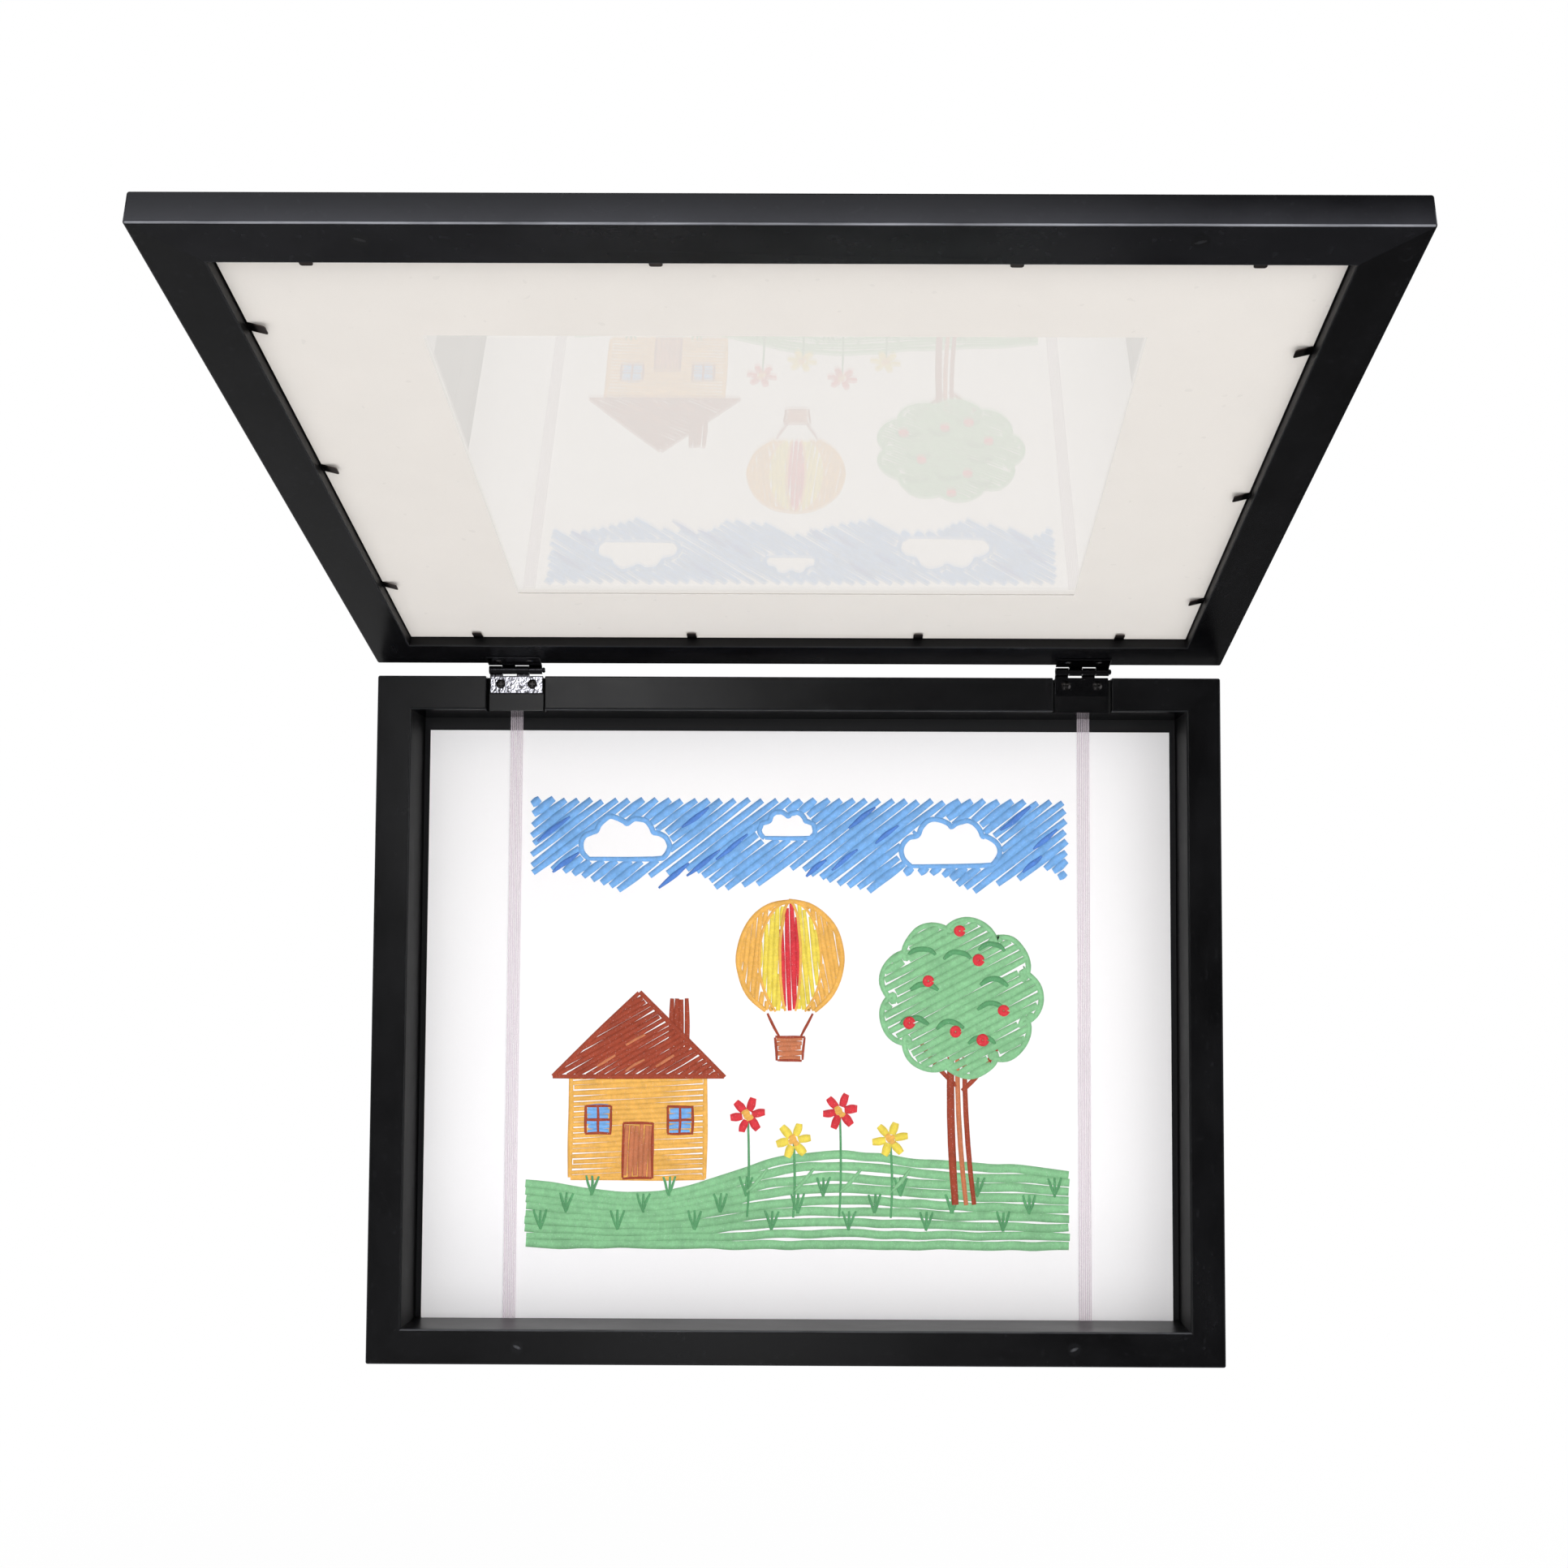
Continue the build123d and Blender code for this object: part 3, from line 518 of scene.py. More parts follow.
def hinge_plate(name, settings, node, painted_reflection):
    """Black nickel over hammered steel. A leaf's plate carries a painted reflection as bright as one argument
    sets, and its rim and knuckles are left dark without it."""
    shader = Shader(name)
    spot = shader.place()
    low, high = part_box(node)
    middle, half = (low.x + high.x) / 2, (high.x - low.x) / 2
    side = half - abs(shader.axis(spot, "X") - middle)
    height = shader.axis(spot, "Z")
    # The rim and knuckles are kept out of the painted reflection
    rim = side.at_most(height - low.z).at_most(NOTCH_HEIGHT - height)
    plate = shader.ramp(rim / RIM_WIDTH, (0.45, 0), (0.75, 1))
    dimples = shader.noise(spot, 1 / settings.hammer_pitch, 1.0, 0.4)
    smudges = shader.noise(spot, 380.0, 3.0, 0.6)
    dark = shader.ramp(smudges, (0.36, 0), (0.5, 1))
    # Painted reflection on the plate, broken by dark smudges
    tone = shader.mix(dark, tinted(settings.hinge, 0.3), tinted(settings.hinge, painted_reflection))
    tone = shader.mix(plate, tinted(settings.hinge, 0.4), tone)
    normal = shader.bump(dimples, 0.5, 0.13 * MM)
    surface = shader.principled(Base_Color=tone, Metallic=1.0, Roughness=0.12 + smudges * 0.06, Normal=normal)
    return shader.finish(surface)


class ARTFRAME_OT_metal(bpy.types.Operator):
    """Finish the hinges, screws, tabs, points, magnets and hangers"""
    bl_idname = "artframe.metal"
    bl_label = "Finish the metal"

    def execute(self, context):
        settings = context.scene.art_metal
        pitch = settings.hammer_pitch
        hinge = plated_steel("black nickel", tinted(settings.hinge, 0.45), 0.16, pitch, 0.04 * MM)
        screw = plated_steel("screw steel", settings.screw, 0.25, pitch, 0.01 * MM)
        point = plated_steel("point steel", settings.tab, 0.42, pitch, 0.01 * MM)
        hanger = plated_steel("hanger brass", settings.hanger, 0.32, pitch, 0.01 * MM)
        # The left leaf carries a bright painted reflection, the right one almost none
        for side, painted_reflection in (("left", 4.2), ("right", 0.4)):
            leaf = side + "_hinge_box_leaf"
            paint((leaf,), hinge_plate(leaf + " nickel", settings, leaf, painted_reflection))
            paint((side + "_hinge_lid_leaf", side + "_hinge_pin"), hinge)
        paint(("box_leaf_screws", "lid_leaf_screws", "box_magnets", "lid_magnets"), screw)
        paint(("mat_tabs",), spring_steel("tab steel", settings, LID_RING))
        paint(("panel_points", "box_corner_brads", "lid_corner_brads"), point)
        paint(("top_hanger", "side_hanger", "hanger_nails"), hanger)
        return {"FINISHED"}


# Paper, mat and glass

def sheet_paper(name, settings):
    """Smooth drawing paper with faint fibres and flecks."""
    shader = Shader(name)
    spot = shader.place()
    fibres = shader.noise(spot, 1 / settings.fibre_pitch, 5.0, 0.7)
    cockle = shader.noise(spot, 14.0, 1.0)
    tone = shader.mix(fibres * 0.6 + cockle * 0.4, tinted(settings.sheet, 0.965), tinted(settings.sheet, 1.03))
    normal = shader.bump(fibres, 0.25, 0.03 * MM, shader.bump(cockle, 0.3, 0.6 * MM))
    surface = shader.principled(Base_Color=tone, Roughness=0.8 + fibres * 0.1, Normal=normal,
                                Specular_IOR_Level=0.3)
    return shader.finish(surface)


def mat_board(name, settings):
    """Mat board: a toned face with fibres, and a bright core where the window's edge is cut at a slant, with
    painted shade on the cut edges' deeper part.
    """
    shader = Shader(name)
    spot = shader.place()
    fibres = shader.noise(spot, 1 / settings.fibre_pitch, 5.0, 0.7)
    blotches = shader.noise(spot, 40.0, 3.0)
    flecks = shader.ramp(shader.noise(spot, 300.0, 0.0), (0.82, 0), (0.84, 1))
    face = shader.mix(fibres * 0.5 + blotches * 0.5, tinted(settings.mat, 0.96), tinted(settings.mat, 1.04))
    face = shader.mix(flecks * 0.12, face, tinted(settings.mat, 0.6))
    facing = shader.turned(shader.node("TexCoord", output="Normal"), LID_LEVEL)
    flat = abs(shader.axis(facing, "Z"))
    height = shader.axis(shader.place(LID_LEVEL), "Z")
    # Bright core near the back, painted shade on the cut edges beyond it
    core = shader.mix(height > MAT_BACK + MAT_SKIN, rgb(settings.core), tinted(settings.mat, 0.72))
    tone = shader.mix(flat < 0.9, face, core)
    normal = shader.bump(fibres, 0.3, 0.04 * MM)
    surface = shader.principled(Base_Color=tone, Roughness=0.85, Normal=normal, Specular_IOR_Level=0.25)
    return shader.finish(surface)


def clear_glass(name, settings):
    """Polished glass with a faint film on it, which lets lamps light what is behind it."""
    shader = Shader(name)
    film = shader.noise(shader.place(), 30.0, 4.0, 0.7)
    rough = shader.ramp(film, (0.45, 0), (0.85, 1)) * 0.03
    glass = shader.principled(Base_Color=rgb(settings.colour), Roughness=rough, IOR=settings.index,
                              Transmission_Weight=1.0)
    clear = shader.node("BsdfTransparent", None, {"Color": rgb(settings.colour)})
    return shader.finish(shader.node("MixShader", None, (shader.ray("Shadow"), glass, clear)))


class ARTFRAME_OT_paper(bpy.types.Operator):
    """Finish the sheets and the mat"""
    bl_idname = "artframe.paper"
    bl_label = "Finish the paper"

    def execute(self, context):
        settings = context.scene.art_paper
        paint(("drawing_sheet", "stored_sheets"), sheet_paper("drawing paper", settings))
        paint(("window_mat",), mat_board("mat board", settings))
        return {"FINISHED"}


class ARTFRAME_OT_glass(bpy.types.Operator):
    """Cut the pane of glass, with ground arrises, just clear of the mat behind it and the lip before it"""
    bl_idname = "artframe.glass"
    bl_label = "Cut the glass"

    def execute(self, context):
        settings = context.scene.art_glass
        low, high = level_box(("glazing",), LID_LEVEL)
        span = high - low - 2 * settings.clearance * Vector((1, 1, 1))
        mesh = bmesh.new()
        bmesh.ops.create_cube(mesh, size=1.0)
        bmesh.ops.scale(mesh, vec=span, verts=mesh.verts)
        bmesh.ops.bevel(mesh, geom=mesh.edges[:], offset=settings.arris, segments=1, affect="EDGES")
        bmesh.ops.translate(mesh, vec=(low + high) / 2, verts=mesh.verts)
        bmesh.ops.rotate(mesh, cent=(0, 0, 0), matrix=LID_LEVEL.to_matrix().inverted(), verts=mesh.verts)
        data = bpy.data.meshes.new("glass_pane")
        mesh.to_mesh(data)
        mesh.free()
        data.materials.append(clear_glass("clear glass", settings))
        pane = add_object("glass_pane", data)
        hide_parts("glazing")
        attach(pane, "lid")
        return {"FINISHED"}


# Elastic straps

def elastic(name, settings, middle_x):
    """Ribbed elastic: rubber threads along it, thin cross threads between them, and gaps that show through."""
    shader = Shader(name)
    spot = shader.place(shift=(-middle_x, 0, 0))
    across = shader.axis(spot, "X")
    along = shader.axis(spot, "Z")
    pitch = STRAP_WIDTH / settings.rib_count
    rib = (across * (2 * math.pi / pitch)).sine() * 0.5 + 0.5
    thread = (along * (2 * math.pi / settings.thread_pitch)).sine() * 0.5 + 0.5
    fuzz = shader.noise(spot, 2200.0, 2.0)
    tone = shader.mix(rib * 0.7 + fuzz * 0.3, tinted(settings.colour, 0.85), tinted(settings.colour, 1.1))
    cover = (settings.cover + (rib - 0.5) * 0.24 + (thread - 0.5) * 0.05 + (fuzz - 0.5) * 0.1).at_most(1.0)
    normal = shader.bump(rib * 0.7 + thread * 0.3, 0.5, 0.2 * MM)
    surface = shader.principled(Base_Color=tone, Roughness=0.45, Alpha=cover, Normal=normal)
    return shader.finish(surface)


class ARTFRAME_OT_straps(bpy.types.Operator):
    """Finish the elastic straps"""
    bl_idname = "artframe.straps"
    bl_label = "Finish the straps"

    def execute(self, context):
        for name in ("left_strap", "right_strap"):
            low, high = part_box(name)
            paint((name,), elastic(name + " elastic", context.scene.art_straps, (low.x + high.x) / 2))
        return {"FINISHED"}


# The drawing

INKS = {
    "pale green": (0.25, 0.55, 0.28),
    "dark green": (0.11, 0.35, 0.15),
    "yellow": (0.90, 0.69, 0.09),
    "orange": (0.88, 0.46, 0.10),
    "brown": (0.36, 0.060, 0.028),
    "tan": (0.58, 0.19, 0.085),
    "red": (0.72, 0.040, 0.055),
    "pale blue": (0.19, 0.43, 0.82),
    "dark blue": (0.09, 0.235, 0.66),
}
# Widths of the felt tips
BROAD = 4.6
MIDDLE = 3.0
FINE = 1.5
# The picture's edges
PICTURE_SIDE = 129
PICTURE_TOP = 107
PICTURE_FOOT = -105


def felt_ink(name, colour, surface_y, height):
    """Felt-tip ink on paper: mottled, with a darker rim along each line and specks of bare paper."""
    shader = Shader(name)
    spot = shader.place()
    proud = (surface_y - shader.axis(spot, "Y")) / height
    wobble = shader.noise(spot, 700.0, 3.0, 0.7)
    rim = shader.ramp(proud + (wobble - 0.5) * 0.35, (0.12, 1), (0.5, 0))
    mottle = shader.ramp(shader.noise(spot, 420.0, 4.0, 0.7), (0.3, 0), (0.72, 1))
    pools = shader.ramp(shader.noise(spot, 75.0, 2.0), (0.5, 0), (0.66, 1))
    bare = shader.ramp(shader.noise(spot, 1500.0, 2.0), (0.62, 0), (0.78, 1))
    tone = shader.mix(mottle, tinted(colour, 0.88), tinted(colour, 1.18))
    tone = shader.mix(rim * 0.55, tone, tinted(colour, 0.55))
    tone = shader.mix(pools * 0.25, tone, tinted(colour, 0.6))
    tone = shader.mix(bare * 0.3, tone, (0.85, 0.84, 0.85, 1))
    surface = shader.principled(Base_Color=tone, Roughness=0.6, Specular_IOR_Level=0.3)
    return shader.finish(surface)


def on_line(start, end, share):
    """A point on the way between two places."""
    return (start[0] + (end[0] - start[0]) * share, start[1] + (end[1] - start[1]) * share)


def oval(middle, wide, tall, count=20, start=0.0, end=360.0):
    """Points round an oval or along an arc of it, angles in degrees from +X."""
    points = []
    for number in range(count + 1):
        angle = math.radians(start + (end - start) * number / count)
        points.append((middle[0] + wide * math.cos(angle), middle[1] + tall * math.sin(angle)))
    return points


class FeltTips:
    """A hand that draws lines on the sheet, in millimetres from the sheet's middle."""

    def __init__(self, seed):
        self.hand = random.Random(seed)
        self.lines = {}

    def line(self, ink, points, tip=MIDDLE, layer=0, shake=0.3, taper=0.75):
        """One line through the points, with the hand's wobble."""
        shaken = [(x + self.hand.uniform(-shake, shake), y + self.hand.uniform(-shake, shake))
                  for x, y in points]
        width = tip * self.hand.uniform(0.92, 1.08)
        self.lines.setdefault((ink, tip, layer), []).append((shaken, width, taper))

    def straight(self, ink, start, end, tip=MIDDLE, layer=0, shake=0.3, taper=0.75):
        """A straight line, drawn by hand."""
        self.line(ink, [on_line(start, end, share) for share in (0, 0.33, 0.67, 1)], tip, layer, shake, taper)

    def outline(self, ink, points, tip=FINE, layer=2):
        """A closed shape, one side after the other."""
        for start, end in zip(points, points[1:] + points[:1]):
            self.straight(ink, start, end, tip, layer)

    def fill(self, ink, outline, angle, tip=MIDDLE, layer=0, step=0.8, holes=()):
        """Close lines inside an outline, at an angle in degrees, a share of the tip's width apart."""
        turn = Matrix.Rotation(math.radians(-angle), 2)
        back = turn.inverted()
        loops = [[turn @ Vector(point) for point in loop] for loop in (outline, *holes)]
        level = min(corner.y for corner in loops[0]) + tip * 0.4
        top = max(corner.y for corner in loops[0])
        while level < top - tip * 0.15:
            crossings = []
            for corners in loops:
                for start, end in zip(corners, corners[1:] + corners[:1]):
                    if (start.y > level) != (end.y > level):
                        share = (level - start.y) / (end.y - start.y)
                        crossings.append(start.x + (end.x - start.x) * share)
            crossings.sort()
            for low, high in zip(crossings[::2], crossings[1::2]):
                if high - low > tip * 0.6:
                    first = back @ Vector((low + tip * self.hand.uniform(0.1, 0.45), level))
                    last = back @ Vector((high - tip * self.hand.uniform(0.1, 0.45), level))
                    self.straight(ink, first, last, tip, layer, shake=0.25)
            level += tip * step * self.hand.uniform(0.94, 1.1)


def cloud(x, y, size):
    """The outline of a cloud with a flat foot."""
    puffs = []
    for across, up, radius, start, end in ((-15, 0, 7, 250, 90), (-6, 7, 8, 175, 40), (7, 6, 8, 140, 5),
                                           (16, 0, 7, 90, -70)):
        puffs += oval((x + across * size, y + up * size), radius * size, radius * size, 7, start, end)
    return puffs


def draw_sky(tips):
    """A strip of sky in slanted blue lines, with clouds left white and darker overlaps."""
    foot = [(PICTURE_SIDE - 12 * step, 66 + 5 * math.sin(step * 1.3) + 3 * (step % 2)) for step in range(22)]
    clouds = [cloud(-84, 84, 0.95), cloud(-6, 92, 0.6), cloud(72, 82, 1.05)]
    sky = [(-PICTURE_SIDE, PICTURE_TOP), (PICTURE_SIDE, PICTURE_TOP)] + foot + [(-PICTURE_SIDE, 68)]
    tips.fill("pale blue", sky, 38, BROAD, step=0.83, holes=clouds)
    for puffs in clouds:
        tips.line("pale blue", puffs + puffs[:1], MIDDLE, 1, shake=0.4)
    for x, y in ((-118, 92), (-112, 76), (-50, 98), (-46, 76), (-32, 84), (22, 78), (30, 98), (42, 90),
                 (104, 98), (112, 76), (118, 88), (-60, 70), (8, 74)):
        reach = tips.hand.uniform(4, 8)
        low, high = (x - reach, y - reach * 0.8), (x + reach, y + reach * 0.8)
        tips.straight("dark blue", low, high, MIDDLE, 1, shake=0.4, taper=0.35)


def draw_hill(tips):
    """A green hill in broad lines that follow its crest, with tufts of grass."""
    rows, steps = 9, 30
    for row in range(rows):
        points = []
        for step in range(steps):
            x = -PICTURE_SIDE + 2 * PICTURE_SIDE * step / (steps - 1)
            crest = -72 + 9 * math.sin(x / 46 + 0.6) + 3 * math.cos(x / 21)
            points.append((x, crest + (PICTURE_FOOT - crest) * row / (rows - 1)))
        tips.line("pale green", points, BROAD, shake=0.6, taper=0.9)
    for step in range(21):
        foot = (-122 + 12.2 * step, -98 + 8 * (step % 3))
        for lean in (-3, 0.3, 3.2):
            tips.straight("dark green", foot, (foot[0] + lean, foot[1] + 9), FINE, 1)


def draw_house(tips):
    """A house with a hatched roof, a door, two windows and a chimney."""
    left, right, foot, eaves, ridge = -108, -44, -74, -26, 14
    walls = [(left, foot), (right, foot), (right, eaves), (left, eaves)]
    roof = [(left - 9, eaves), (right + 9, eaves), ((left + right) / 2, ridge)]
    chimney = [(right - 19, -16), (right - 8, -16), (right - 8, 12), (right - 19, 12)]
    tips.fill("brown", chimney, 90)
    tips.fill("orange", walls, 3)
    tips.fill("brown", roof, 30, layer=1)
    tips.outline("orange", walls, MIDDLE, 0)
    tips.outline("brown", roof, MIDDLE, 1)
    for x, level in ((-92, -18), (-78, -8), (-64, -18), (-78, -20)):
        tips.straight("tan", (x - 4, level - 3), (x + 5, level + 2), FINE, 2)
    door = [(-83, foot), (-69, foot), (-69, -48), (-83, -48)]
    tips.fill("tan", door, 88, layer=1)
    tips.outline("brown", door, FINE)
    for x in (-101, -62):
        pane = [(x, -53), (x + 12, -53), (x + 12, -40), (x, -40)]
        tips.fill("pale blue", pane, 2, layer=1)
        tips.outline("brown", pane, FINE)
        tips.straight("brown", (x + 6, -53), (x + 6, -40), FINE, 2)
        tips.straight("brown", (x, -46.5), (x + 12, -46.5), FINE, 2)


def draw_tree(tips):
    """A round tree with a brown trunk and red apples."""
    for foot, top, ink, tip in ((75, 73, "brown", BROAD), (80, 76, "tan", MIDDLE), (84, 79, "brown", MIDDLE)):
        tips.line(ink, [(foot, -86), ((foot + top) / 2 - 2, -50), (top, -16)], tip, 1)
    tips.line("brown", [(76, -30), (64, -20), (58, -8)], MIDDLE, 1)
    tips.line("brown", [(78, -32), (90, -22), (97, -8)], MIDDLE, 1)
    crown = []
    crown_x, crown_y = 77, 12
    for degrees in range(0, 360, 40):
        angle = math.radians(degrees)
        lobe = (crown_x + 25 * math.cos(angle), crown_y + 24 * math.sin(angle))
        crown += oval(lobe, 14, 14, 6, degrees - 75, degrees + 75)
    tips.fill("pale green", crown, 28, BROAD, 2, step=0.76)
    tips.line("pale green", crown + crown[:1], MIDDLE, 2, shake=0.5)
    for number, degrees in enumerate(range(14, 360, 40)):
        angle = math.radians(degrees)
        reach = 17 + 9 * (number % 2)
        leaf = (crown_x + reach * math.cos(angle), crown_y + reach * math.sin(angle))
        tips.line("dark green", oval(leaf, 7, 5, 5, 20, 160), MIDDLE, 3, shake=0.4, taper=0.5)
    for x, y in ((62, 20), (86, 30), (98, 6), (75, -4), (53, 0), (77, 44), (88, -8)):
        tips.line("red", oval((x, y), 1.7, 1.7, 8), MIDDLE, 4, shake=0.15, taper=1.0)


def draw_balloon(tips):
    """A striped hot-air balloon with its basket."""
    middle, radius = (-4, 30), 25
    tall = radius * 1.12
    edges = [-1, -0.6, -0.2, 0.2, 0.6, 1]
    for number, ink in enumerate(("orange", "yellow", "red", "yellow", "orange")):
        low, high = edges[number], edges[number + 1]
        band = oval(middle, radius * high, tall, 14, 90, -62)
        band += reversed(oval(middle, radius * low, tall, 14, 90, -62))
        tips.fill(ink, band, 84 + 4 * number)
    for share in edges:
        tip = MIDDLE if abs(share) == 1 else FINE
        tips.line("orange", oval(middle, radius * share, tall, 10, 92, -62), tip, 1)
    for side in (-1, 1):
        high = (middle[0] + side * 11, middle[1] - 26)
        low = (middle[0] + side * 5, middle[1] - 37)
        tips.straight("brown", high, low, FINE, 1)
    basket = [(-10, -18), (2, -18), (3, -7), (-11, -7)]
    tips.fill("tan", basket, 2)
    tips.outline("brown", basket, FINE)


def draw_flowers(tips):
    """Flowers in front of the hill."""
    for x, top, ink in ((-24, -44, "red"), (-2, -56, "yellow"), (20, -42, "red"), (44, -55, "yellow")):
        tips.line("dark green", [(x, -92), (x + 1.5, -76), (x, top)], FINE, 2)
        tips.line("pale green", [(x, -80), (x + 5, -76), (x + 10, -69)], MIDDLE, 2, taper=0.4)
        for petal in range(6):
            angle = math.radians(60 * petal + 10)
            root = (x + 2.2 * math.cos(angle), top + 2.2 * math.sin(angle))
            tip_end = (x + 8.4 * math.cos(angle), top + 8.4 * math.sin(angle))
            tips.straight(ink, root, tip_end, BROAD, 2)
        tips.fill("orange", oval((x, top), 2.8, 2.8, 10), 30, MIDDLE, 3, step=0.5)


def lay_ink(name, lines, settings, layer):
    """One colour's lines as a flat mesh that lies on the sheet."""
    curve = bpy.data.curves.new(name, "CURVE")
    curve.dimensions = "3D"
    curve.bevel_depth = MM
    curve.bevel_resolution = 1
    curve.resolution_u = 3
    curve.use_fill_caps = True
    for points, width, taper in lines:
        spline = curve.splines.new("NURBS")
        spline.points.add(len(points) - 1)
        for number, (point, (x, y)) in enumerate(zip(spline.points, points)):
            ending = number in (0, len(points) - 1)
            point.co = (x * MM, 0, y * MM, 1)
            point.radius = width / 2 * settings.tip_scale * (taper if ending else 1)
        spline.order_u = 3
        spline.use_endpoint_u = True
    holder = add_object(name + " line", curve)
    bpy.context.view_layer.update()
    mesh = bpy.data.meshes.new_from_object(holder.evaluated_get(bpy.context.evaluated_depsgraph_get()))
    bpy.data.objects.remove(holder)
    flat = Matrix.Diagonal((1, settings.ink_height, 1, 1))
    lift = Vector((SHEET_MIDDLE.x, SHEET_LOW.y - layer * settings.layer_lift, SHEET_MIDDLE.z))
    mesh.transform(Matrix.Translation(lift) @ flat)
    for face in mesh.polygons:
        face.use_smooth = True
    return add_object(name, mesh)


class ARTFRAME_OT_drawing(bpy.types.Operator):
    """Draw a picture on the sheet between the straps"""
    bl_idname = "artframe.drawing"
    bl_label = "Draw the picture"

    def execute(self, context):
        settings = context.scene.art_drawing
        tips = FeltTips(settings.seed)
        for motif in (draw_sky, draw_hill, draw_house, draw_tree, draw_balloon, draw_flowers):
            motif(tips)
        for (ink, tip, layer), lines in sorted(tips.lines.items()):
            name = "drawing_%s_%d_%d" % (ink.replace(" ", "_"), tip * 10, layer)
            piece = lay_ink(name, lines, settings, layer)
            height = settings.ink_height * tip * settings.tip_scale / 2 * MM
            surface_y = SHEET_LOW.y - layer * settings.layer_lift
            piece.data.materials.append(felt_ink(name + " ink", INKS[ink], surface_y, height))
            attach(piece, "box")
        return {"FINISHED"}


# Stage

def stage_white(name, colour, light):
    """A pale floor. The camera sees it almost white, and all white far off. Gloss sees it dim, darker to the
    right."""
    shader = Shader(name)
    spot = shader.place()
    mottle = shader.noise(spot, 3.0, 2.0)
    tone = shader.mix(mottle, tinted(colour, 0.99), tinted(colour, 1.01))
    matt = shader.principled(Base_Color=tone, Roughness=0.9, Specular_IOR_Level=0.1)
    glow = shader.node("Emission", None, {"Color": (1, 1, 1, 1), "Strength": 1.0})
    away = shader.node("VectorMath", {"operation": "LENGTH"}, (spot,), "Value")
    far = shader.node("MapRange", {"interpolation_type": "SMOOTHSTEP"},
                      {"Value": away, "From Min": 0.9, "From Max": 2.6, "To Min": light, "To Max": 1.0})
    seen = shader.ray("Camera").at_least(shader.ray("Transmission"))
    across = shader.axis(spot, "X")
    dimness = (0.2 - across * 0.18).at_least(0.06)
    dim = shader.node("Emission", None, {"Color": (1, 1, 1, 1), "Strength": dimness})
    plain = shader.node("MixShader", None, (shader.ray("Glossy"), matt, dim))
    return shader.finish(shader.node("MixShader", None, (seen * far, plain, glow)))


def light_world(ambient, room, wall):
    """A world that is white to look at and lights the object softly. Gloss sees the room and the wall."""
    world = bpy.data.worlds.new("studio")
    world.use_nodes = True
    bpy.context.scene.world = world
    shader = Shader("studio", world.node_tree)
    mirror = shader.ray("Glossy")
    direction = shader.node("TexCoord", output="Generated")
    ahead = shader.axis(direction, "Y")
    across = shader.axis(direction, "X")
    mirrored = shader.node("MapRange", {"interpolation_type": "SMOOTHSTEP"},
                           {"Value": ahead, "From Min": -0.4, "From Max": 0.5, "To Min": room, "To Max": wall})
    mirrored = mirrored * (1 - across * 0.45)
    white = shader.ray("Camera").at_least(shader.ray("Transmission"))
    level = white + (1 - white) * (mirror * mirrored + (1 - mirror) * ambient)
    surface = shader.node("Background", None, {"Color": (1, 1, 1, 1), "Strength": level})
    shader.send("OutputWorld", surface)


def soft_box(name, azimuth, elevation, distance, size, radiance, colour=(1, 1, 1), mirrored=True):
    """A soft light seen from the sheet's middle at an azimuth left of straight ahead and an elevation, at a
    distance in metres. Gloss shows it if it is mirrored."""
    turn = Euler((math.radians(-elevation), 0, math.radians(-azimuth))).to_matrix()
    place = SHEET_MIDDLE + turn @ Vector((0, -distance, 0))
    lamp = bpy.data.lights.new(name, "AREA")
    lamp.shape = "RECTANGLE"
    lamp.size, lamp.size_y = size
    lamp.energy = radiance * math.pi * size[0] * size[1]
    lamp.color = colour
    holder = add_object(name, lamp)
    holder.location = place
    holder.visible_camera = False
    holder.visible_transmission = False
    holder.visible_glossy = mirrored
    holder.rotation_euler = (SHEET_MIDDLE - place).to_track_quat("-Z", "Y").to_euler()


def set_camera(lens):
    """The camera at the photograph's place, turn and framing."""
    place = Vector((0.0177, -0.8705, -0.1230))
    yaw, pitch, roll = math.radians(0.174), math.radians(3.287), math.radians(-0.228)
    look = Euler((math.pi / 2, 0, 0)).to_matrix()
    turn = Matrix.Rotation(yaw, 3, "Z") @ Matrix.Rotation(pitch, 3, "X") @ Matrix.Rotation(roll, 3, "Y")
    data = bpy.data.cameras.new("camera")
    data.lens = lens
    data.sensor_width = 36
    data.shift_x = -0.0297
    data.shift_y = 0.045
    data.clip_start = 0.01
    holder = add_object("camera", data)
    holder.matrix_world = Matrix.Translation(place) @ (turn @ look).to_4x4()
    bpy.context.scene.camera = holder


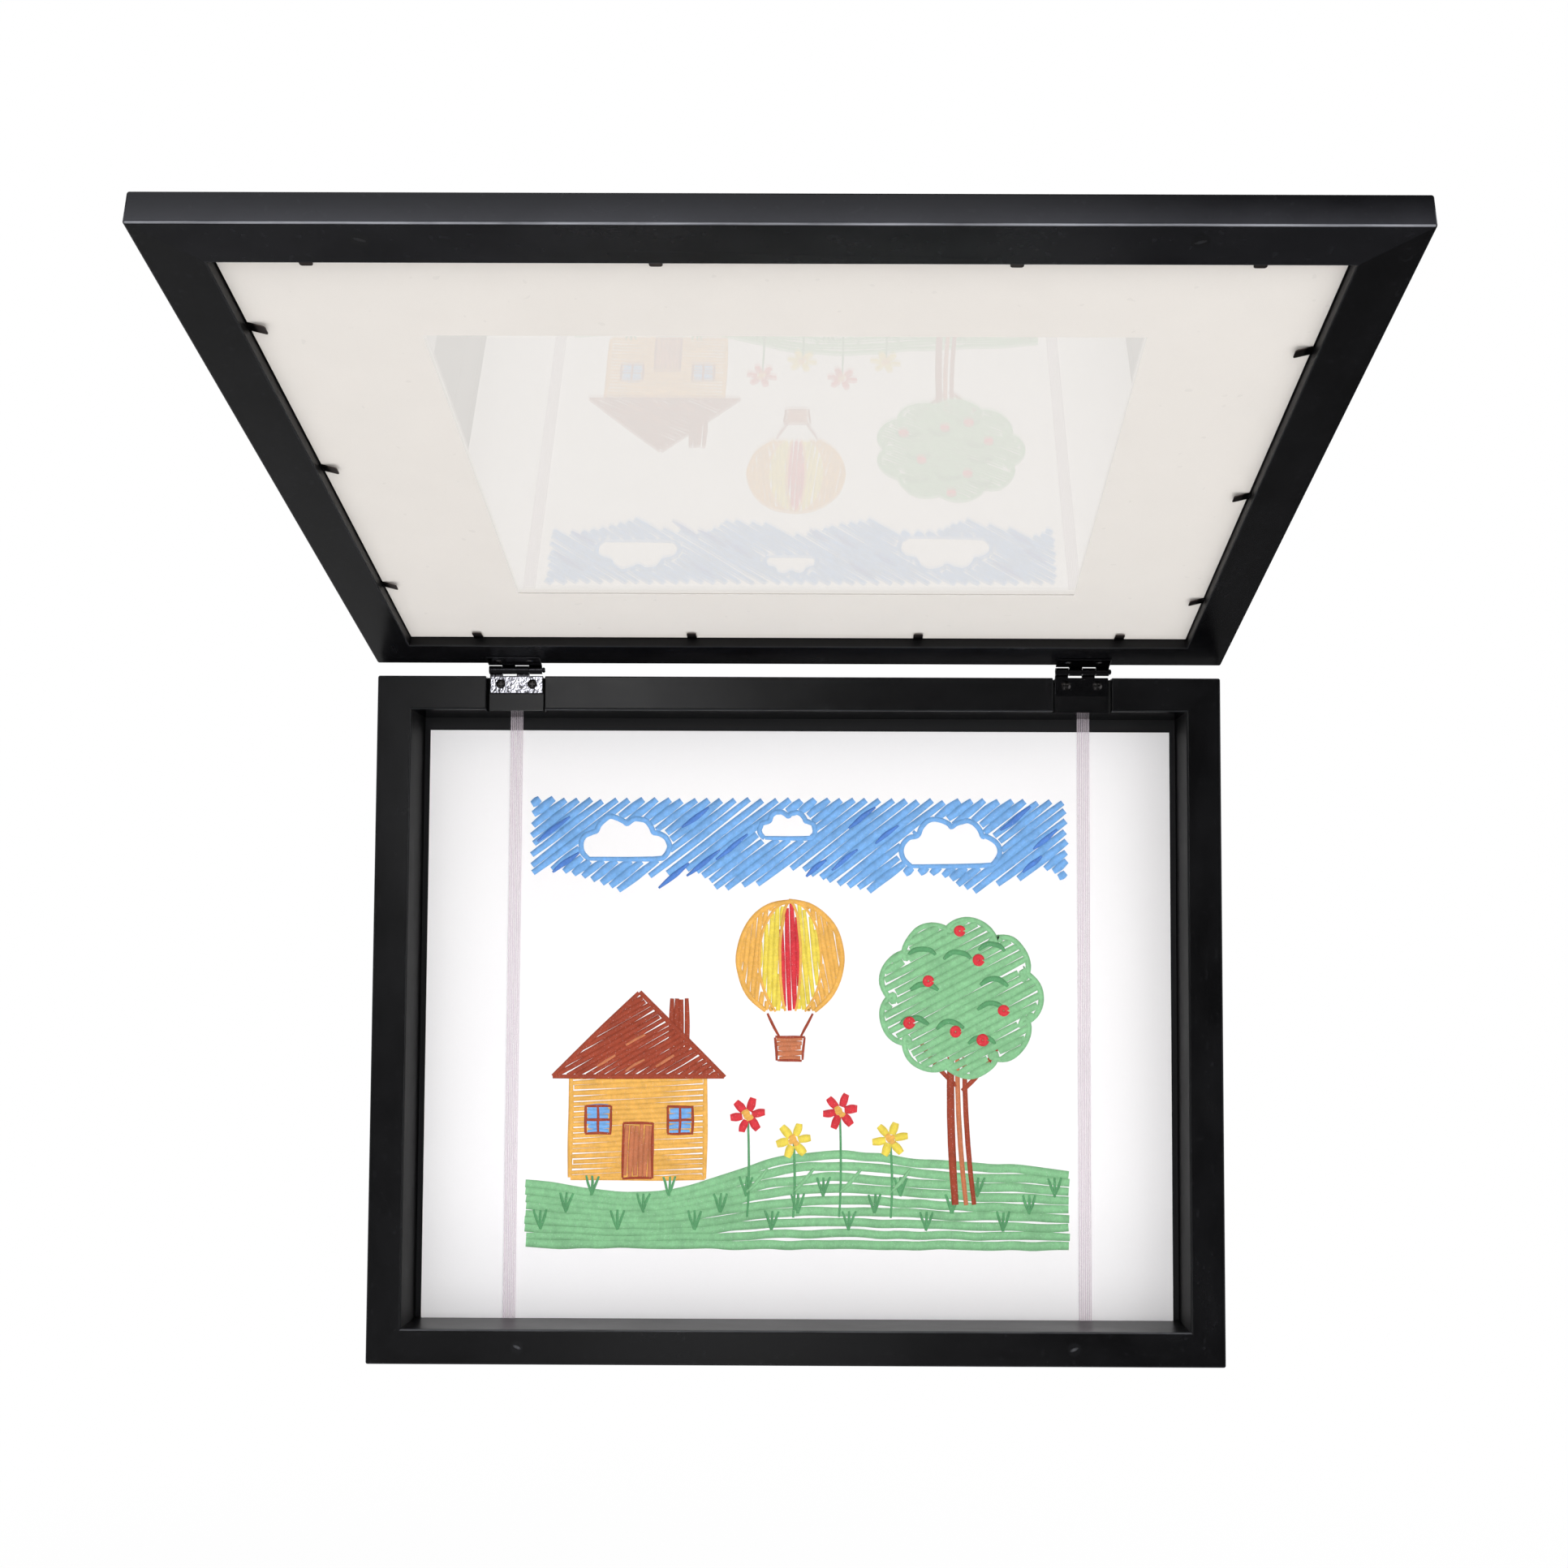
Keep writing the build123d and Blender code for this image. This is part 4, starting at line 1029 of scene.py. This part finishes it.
class ARTFRAME_OT_stage(bpy.types.Operator):
    """Set the floor, the lights, the world and the camera"""
    bl_idname = "artframe.stage"
    bl_label = "Set the stage"

    def execute(self, context):
        settings = context.scene.art_stage
        bpy.ops.mesh.primitive_plane_add(size=settings.floor_width)
        floor = context.object
        floor.name = "floor"
        floor.data.transform(Matrix.Translation((0, 0, -settings.floor_drop)))
        floor.data.materials.append(stage_white("floor white", (0.86, 0.86, 0.86), light=0.85))
        light_world(ambient=0.5, room=0.11, wall=0.14)
        # Azimuth, elevation, distance, size and radiance
        soft_box("fill light", -3, 0, 2.6, (0.8, 0.8), 9.0, mirrored=False)
        soft_box("under light", 0, -72, 0.75, (0.6, 0.3), 2.2, mirrored=False)
        soft_box("back light", 195, 25, 2.6, (1.6, 1.6), 3.5)
        soft_box("window light", 9.2, 8, 3.0, (0.30, 0.60), 7.5)
        soft_box("high light", 26, 52, 2.6, (2.4, 1.2), 2.0, (0.91, 0.93, 1.0))
        soft_box("side light", -45, 4, 2.5, (1.2, 1.2), 1.7)
        soft_box("front light", 4, -12, 3.0, (0.60, 0.30), 2.4)
        set_camera(settings.camera_lens)
        context.scene.view_settings.view_transform = "Standard"
        return {"FINISHED"}


OPERATORS = (ARTFRAME_OT_timber, ARTFRAME_OT_metal, ARTFRAME_OT_paper, ARTFRAME_OT_glass, ARTFRAME_OT_straps,
             ARTFRAME_OT_drawing, ARTFRAME_OT_stage)


class ARTFRAME_PT_panel(bpy.types.Panel):
    """The art frame's finishes, in the order they are made"""
    bl_idname = "ARTFRAME_PT_panel"
    bl_label = "Art frame"
    bl_space_type = "VIEW_3D"
    bl_region_type = "UI"
    bl_category = "Art frame"

    def draw(self, context):
        for operator in OPERATORS:
            self.layout.operator(operator.bl_idname)


def register():
    """Registers the settings, the operators and the panel."""
    for name, group in SETTINGS.items():
        bpy.utils.register_class(group)
        setattr(bpy.types.Scene, name, bpy.props.PointerProperty(type=group))
    for operator in OPERATORS:
        bpy.utils.register_class(operator)
    bpy.utils.register_class(ARTFRAME_PT_panel)


def unregister():
    """Removes what register added."""
    bpy.utils.unregister_class(ARTFRAME_PT_panel)
    for operator in reversed(OPERATORS):
        bpy.utils.unregister_class(operator)
    for name, group in reversed(SETTINGS.items()):
        delattr(bpy.types.Scene, name)
        bpy.utils.unregister_class(group)


def main():
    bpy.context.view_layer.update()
    register()
    for operator in OPERATORS:
        group, name = operator.bl_idname.split(".")
        getattr(getattr(bpy.ops, group), name)()
    bpy.context.view_layer.update()


if __name__ == "__main__":
    main()
